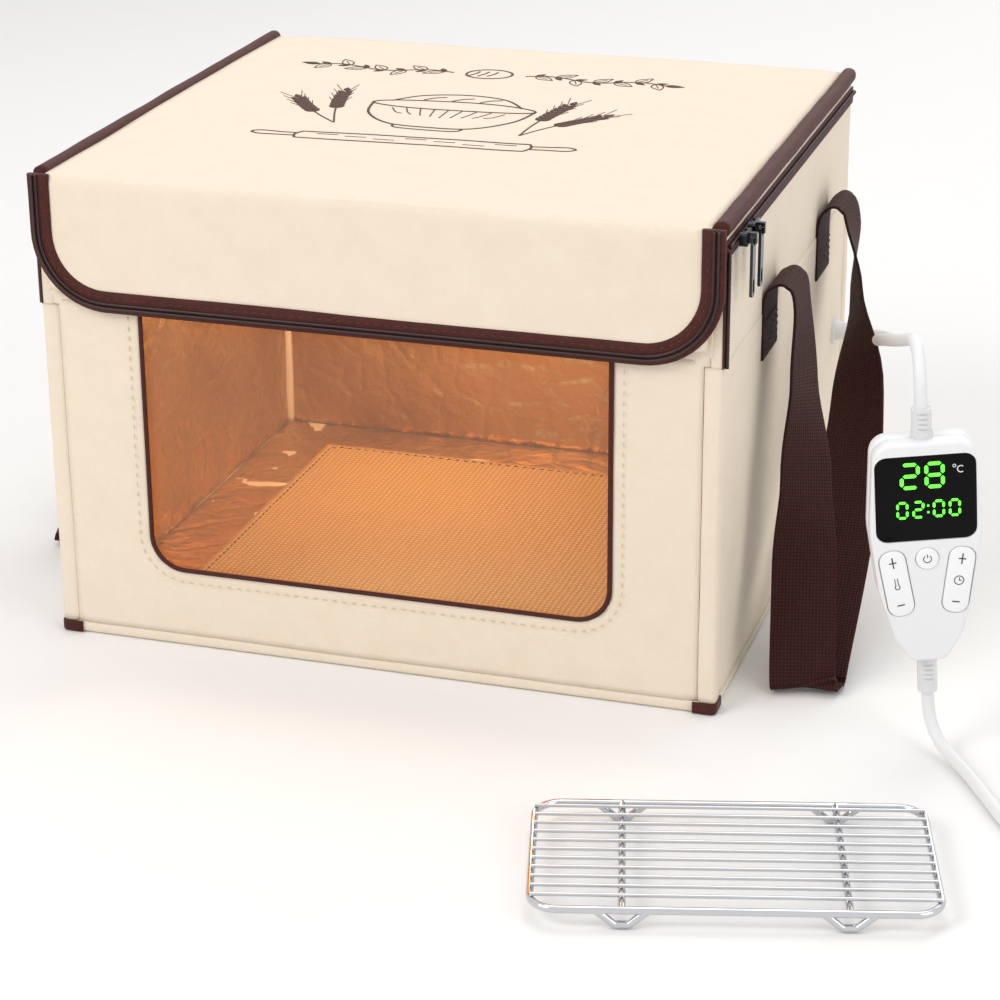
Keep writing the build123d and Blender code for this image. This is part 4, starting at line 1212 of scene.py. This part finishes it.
def handset():
    """Two half shells, the lens and the keys in their pockets, and the marks on them."""
    shell = slab("handset_shell_front", shield(), (-11, -0.1), SHELL_WHITE)
    bake(bevel(shell, 0.0022, 4, 60))
    openings = [pocket(53.6, 48.6, 0, 32, 6.3), pocket(12.9, 12.9, 0, -2.5, 6.4)]
    openings += [pocket(15.0, 39.0, sx * KEY_X, KEY_Z, 6.5, sx * KEY_TURN) for sx in (-1, 1)]
    cut_out(shell, join("pockets", [slab(f"pocket_{i}", outline, (-12, -7.8), None)
                                    for i, outline in enumerate(openings)]))
    back = slab("handset_shell_back", shield(), (0.1, 11), SHELL_WHITE)
    bake(bevel(back, 0.0032, 4, 60))
    for piece, node in ((shell, "handset_front"), (back, "handset_back")):
        flat_faces(piece)
        dress(piece, "base", "white_plastic", node)
    lens = slab("handset_lens", pocket(53, 48, 0, 32, 6), (-10.8, -7.9), LENS, 0.5)
    dress(lens, "base", "display_glass", "display_lens")
    power = slab("power_key_cap", pocket(12.2, 12.2, 0, -2.5, 6.05), (KEY_FRONT, KEY_BACK), KEY_WHITE, 0.7)
    dress(power, "power_key", "button_rubber", "power_button")
    for sx, name, body, node in ((-1, "temperature_key_cap", "temp_key", "temp_rocker"),
                                 (1, "timer_key_cap", "timer_key", "timer_rocker")):
        outline = pocket(14, 38, sx * KEY_X, KEY_Z, 6, sx * KEY_TURN)
        dress(slab(name, outline, (KEY_FRONT, KEY_BACK), KEY_WHITE, 0.9), body, "button_rubber", node)

    digits = [bar_shape(1.1, 24.0, 1.1, 1.1), bar_shape(1.1, 27.8, 1.1, 1.1)]
    for symbol, x in (("2", -12.5), ("8", 0.5)):
        digits += digit(symbol, x, 38.5, 8.6, 13.0, 2.0)
    for symbol, x in (("0", -15.0), ("2", -6.6), ("0", 4.2), ("0", 12.6)):
        digits += digit(symbol, x, 21.5, 5.0, 8.6, 1.4)
    dress(mark("lit_numerals", digits, ON_LENS, GLOW), "base", "display_glass")
    degree = ring_shape(15.2, 49.4, 0.8, 0.4, steps=12) + ring_shape(18.6, 47.4, 1.8, 0.55, 50, 310, 14)
    dress(mark("temperature_unit", degree, ON_LENS, WHITE_INK), "base", "display_glass")
    switch = ring_shape(0, -2.5, 2.1, 0.45, 125, 415, 18) + [bar_shape(0, -0.8, 0.45, 2.2)]
    dress(mark("power_sign", switch, ON_KEY, LABEL_INK), "power_key", "button_rubber")
    for sx, body, icon in ((-1, "temp_key", "warm"), (1, "timer_key", "time")):
        x, z = sx * KEY_X, KEY_Z
        shapes = [bar_shape(x, z + 12.5, 4.0, 0.7), bar_shape(x, z + 14.225, 0.7, 2.75),
                  bar_shape(x, z + 10.775, 0.7, 2.75), bar_shape(x, z - 12.5, 4.0, 0.7)]
        if icon == "warm":
            shapes += ring_shape(x, z - 1.8, 1.3, 0.5, 120, 420, 14)
            shapes += [bar_shape(x + shift, z + 1.3, 0.45, 4.0) for shift in (-0.75, 0.75)]
        else:
            shapes += ring_shape(x, z, 2.5, 0.5, steps=20)
            shapes += [bar_shape(x, z + 0.8, 0.45, 1.9), bar_shape(x + 0.7, z, 1.6, 0.45)]
        signs = mark(f"{icon}_signs", tilted(shapes, x, z, -sx * KEY_TURN), ON_KEY, LABEL_INK)
        dress(signs, body, "button_rubber")


# ---- the lid's print: a garland with a loaf, a bowl, ears of grain and a rolling pin, in one brown ink ----
def stroke(points, thick, bm, high):
    """One drawn line: a thin flat ribbon on the lid, built by extruding an edge."""
    line = even(points, 0.002)
    row = edges = None
    for i, at in enumerate(line):
        on = (line[min(i + 1, len(line) - 1)] - line[max(i - 1, 0)]).normalized()
        side = Vector((-on.y, on.x, 0)) * thick / 2
        spots = [(spot.x, spot.y, high(at)) for spot in (at + side, at - side)]
        if row is None:
            row = [bm.verts.new(spot) for spot in spots]
            edges = [bm.edges.new(row)]
            continue
        verts, edges = extrude(bm, edges)
        row = [next(vert for vert in verts if any(edge.other_vert(vert) == old for edge in vert.link_edges))
               for old in row]
        for vert, spot in zip(row, spots):
            vert.co = spot


def petal(at, angle, long, wide, steps=9):
    """A leaf's or a grain's outline: out along one side and back along the other."""
    on = Vector((math.cos(angle), math.sin(angle), 0))
    across = Vector((-on.y, on.x, 0))
    points = []
    for way, order in ((1, range(steps + 1)), (-1, range(steps, -1, -1))):
        for t in (i / steps for i in order):
            points.append(at + on * long * t + across * way * wide * math.sin(math.pi * t ** 0.8))
    return points


def arch(wide, high, step):
    """A closed round of points in millimetres, one each step degrees."""
    return [(wide * math.cos(math.radians(a)), high * math.sin(math.radians(a))) for a in range(0, 361, step)]


def lid_print():
    """The drawing on the lid, laid on its cloth."""
    cover = bpy.data.objects["lid_and_flap_cloth"]
    tree = BVHTree.FromObject(cover, bpy.context.evaluated_depsgraph_get())
    bm = bmesh.new()

    def high(at):
        """The ink's height on the cloth here."""
        return tree.ray_cast(Vector((at.x, at.y, 0.5)), Vector((0, 0, -1)))[0].z + 0.00012

    def draw(points, thick, x=0, y=0):
        """A smooth line through points given in millimetres from (x, y)."""
        spots = [(Vector((x + a, y + b, 0)) * MM, 0) for a, b in points]
        stroke([at for at, _ in smooth_stations(spots, 10)], thick * MM, bm, high)

    def seed(x, y, angle, long, wide):
        """A filled grain or leaf."""
        outline = petal(Vector((x, y, 0)) * MM, math.radians(angle), long * MM, wide * MM)
        spots = [p for i, p in enumerate(outline) if i == 0 or (p - outline[i - 1]).length > 1e-5]
        if (spots[0] - spots[-1]).length < 1e-5:
            spots.pop()
        bm.faces.new([bm.verts.new((p.x, p.y, high(p))) for p in spots])

    def leaf(x, y, angle, long, wide):
        """An open leaf with its middle vein."""
        foot, angle = Vector((x, y, 0)) * MM, math.radians(angle)
        stroke(petal(foot, angle, long * MM, wide * MM, 7), 0.8 * MM, bm, high)
        vein = Vector((math.cos(angle), math.sin(angle), 0)) * long * 0.7 * MM
        stroke([foot, foot + vein], 0.6 * MM, bm, high)

    # the garland along the back: one stem on each side of a round loaf, its leaves in turn to both sides
    loaf_x, loaf_y = -20, 104
    for sx in (-1, 1):
        stem = [(loaf_x + sx * (24 + i * 13.0), loaf_y + 4.0 * math.sin(i * 1.35)) for i in range(8)]
        draw(stem, 1.4)
        for i, ((x0, y0), (x1, y1)) in enumerate(zip(stem, stem[1:])):
            x, y, on = (x0 + x1) / 2, (y0 + y1) / 2, math.degrees(math.atan2(y1 - y0, x1 - x0))
            leaf(x, y, on + sx * (48 if i % 2 else -48), 15, 3.8)
            seed(x, y, on - sx * (42 if i % 2 else -42), 8.5, 2.1)
        seed(*stem[-1], 0 if sx > 0 else 180, 13, 3.2)
    draw(arch(15, 12, 20), 1.5, loaf_x, loaf_y)
    for x in (-32, -26, -20):
        draw([(0, 98), (3, 104), (4, 110)], 1.2, x)

    # the bowl in the middle
    bowl = (-16, -2)
    draw([(x, 22 + y) for x, y in arch(52, 10, 15)], 1.5, *bowl)
    draw([(-52, 22), (-46, -4), (-26, -26), (0, -30), (26, -26), (46, -4), (52, 22)], 1.6, *bowl)
    draw([(-42, 27), (-26, 44), (0, 50), (26, 44), (42, 27)], 1.5, *bowl)
    for shift in (-18, 0, 18):
        draw([(-5 + shift, 33), (shift, 39), (7 + shift, 42)], 1.3, *bowl)
    for t in range(-36, 37, 9):
        low = 13 - abs(t) * 0.05
        draw([(t, low), (t * 0.86, low - 9), (t * 0.72, low - 20 + abs(t) * 0.22)], 0.8, *bowl)
    draw([(-22, -29), (-16, -35), (16, -35), (22, -29)], 1.4, *bowl)

    # two ears of grain on each side of the bowl
    for sx, lean, long in ((-1, 14, 84), (1, -8, 84), (-1, 38, 72), (1, -34, 72)):
        way = Vector((math.cos(math.radians(90 + lean)), math.sin(math.radians(90 + lean)), 0))
        across = Vector((-way.y, way.x, 0))

        def on_stalk(t):
            return Vector((bowl[0] + sx * 58, bowl[1] - 32, 0)) + way * long * t + across * 3 * math.sin(3 * t)

        draw([on_stalk(t)[:2] for t in (0, 0.3, 0.6, 0.9)], 1.1)
        for i in range(8):
            at = on_stalk(0.42 + 0.062 * i)
            for turn in (-1, 1):
                seed(at.x, at.y, 90 + lean + turn * 34, 8.6, 2.1)
                if i % 2:
                    draw([at[:2], (at + way * 22 + across * turn * 7)[:2]], 0.45)
        seed(*on_stalk(0.92)[:2], 90 + lean, 9, 2.2)

    # the rolling pin across the front, a little aslant
    left, right = -84, 54

    def roll(points, thick):
        draw([(x, -62 + y + (x + 16) * 0.06) for x, y in points], thick)

    for y in (-7.5, 7.5):
        roll([(left, y), (right, y)], 1.5)
    for x, side in ((left, -1), (right, 1)):
        roll([(x, -7.5), (x + side * 2.5, 0), (x, 7.5)], 1.5)
        grip = ((2.5, -3), (12, -3.2), (24, -3.8), (29, 0), (24, 3.8), (12, 3.2), (2.5, 3))
        roll([(x + side * a, y) for a, y in grip], 1.4)
    for i in range(7):
        x, y = left + 10 + 18 * i, 3.5 - (i % 3) * 2.5
        roll([(x, y), (x + 13, y)], 0.7)

    ink = mesh_object("lid_ink", bm, INK)
    face_towards(ink, (0, 0, 1))
    bake(thicken(ink, 0.00010, 1.0))
    dress(ink, "lid", "cream_fabric")


aim_camera()
studio()
make_lead()
for direction in (-1, 1):
    side_wall(direction)
front_wall()
back_wall()
base()
heating_mat()
upper_band()
lid_and_flap()
corner_gussets()
strap("right", 1, 75, 1.0)
strap("left", -1, 2, 0.4)
handset()
lid_print()

# ---- finishes on the parts that stay as they are ----
FINISHES = {
    "rack_frame": CHROME, "rack_wires": CHROME, "plug_body": BOOT_WHITE, "plug_pins": BRASS,
    "lead_gland": BOOT_WHITE, "cord_reliefs": BOOT_WHITE, "circuit_board": CIRCUIT, "base_board": BOARD,
    "heating_wire": STEEL, "temp_sensor": STEEL, "left_slider": NICKEL, "left_pull": NICKEL,
    "right_rear_slider": GUNMETAL, "right_rear_pull": GUNMETAL, "right_front_slider": GUNMETAL,
    "right_front_pull": GUNMETAL}
for name, material in FINISHES.items():
    nodes[name].data.materials.clear()
    nodes[name].data.materials.append(material)
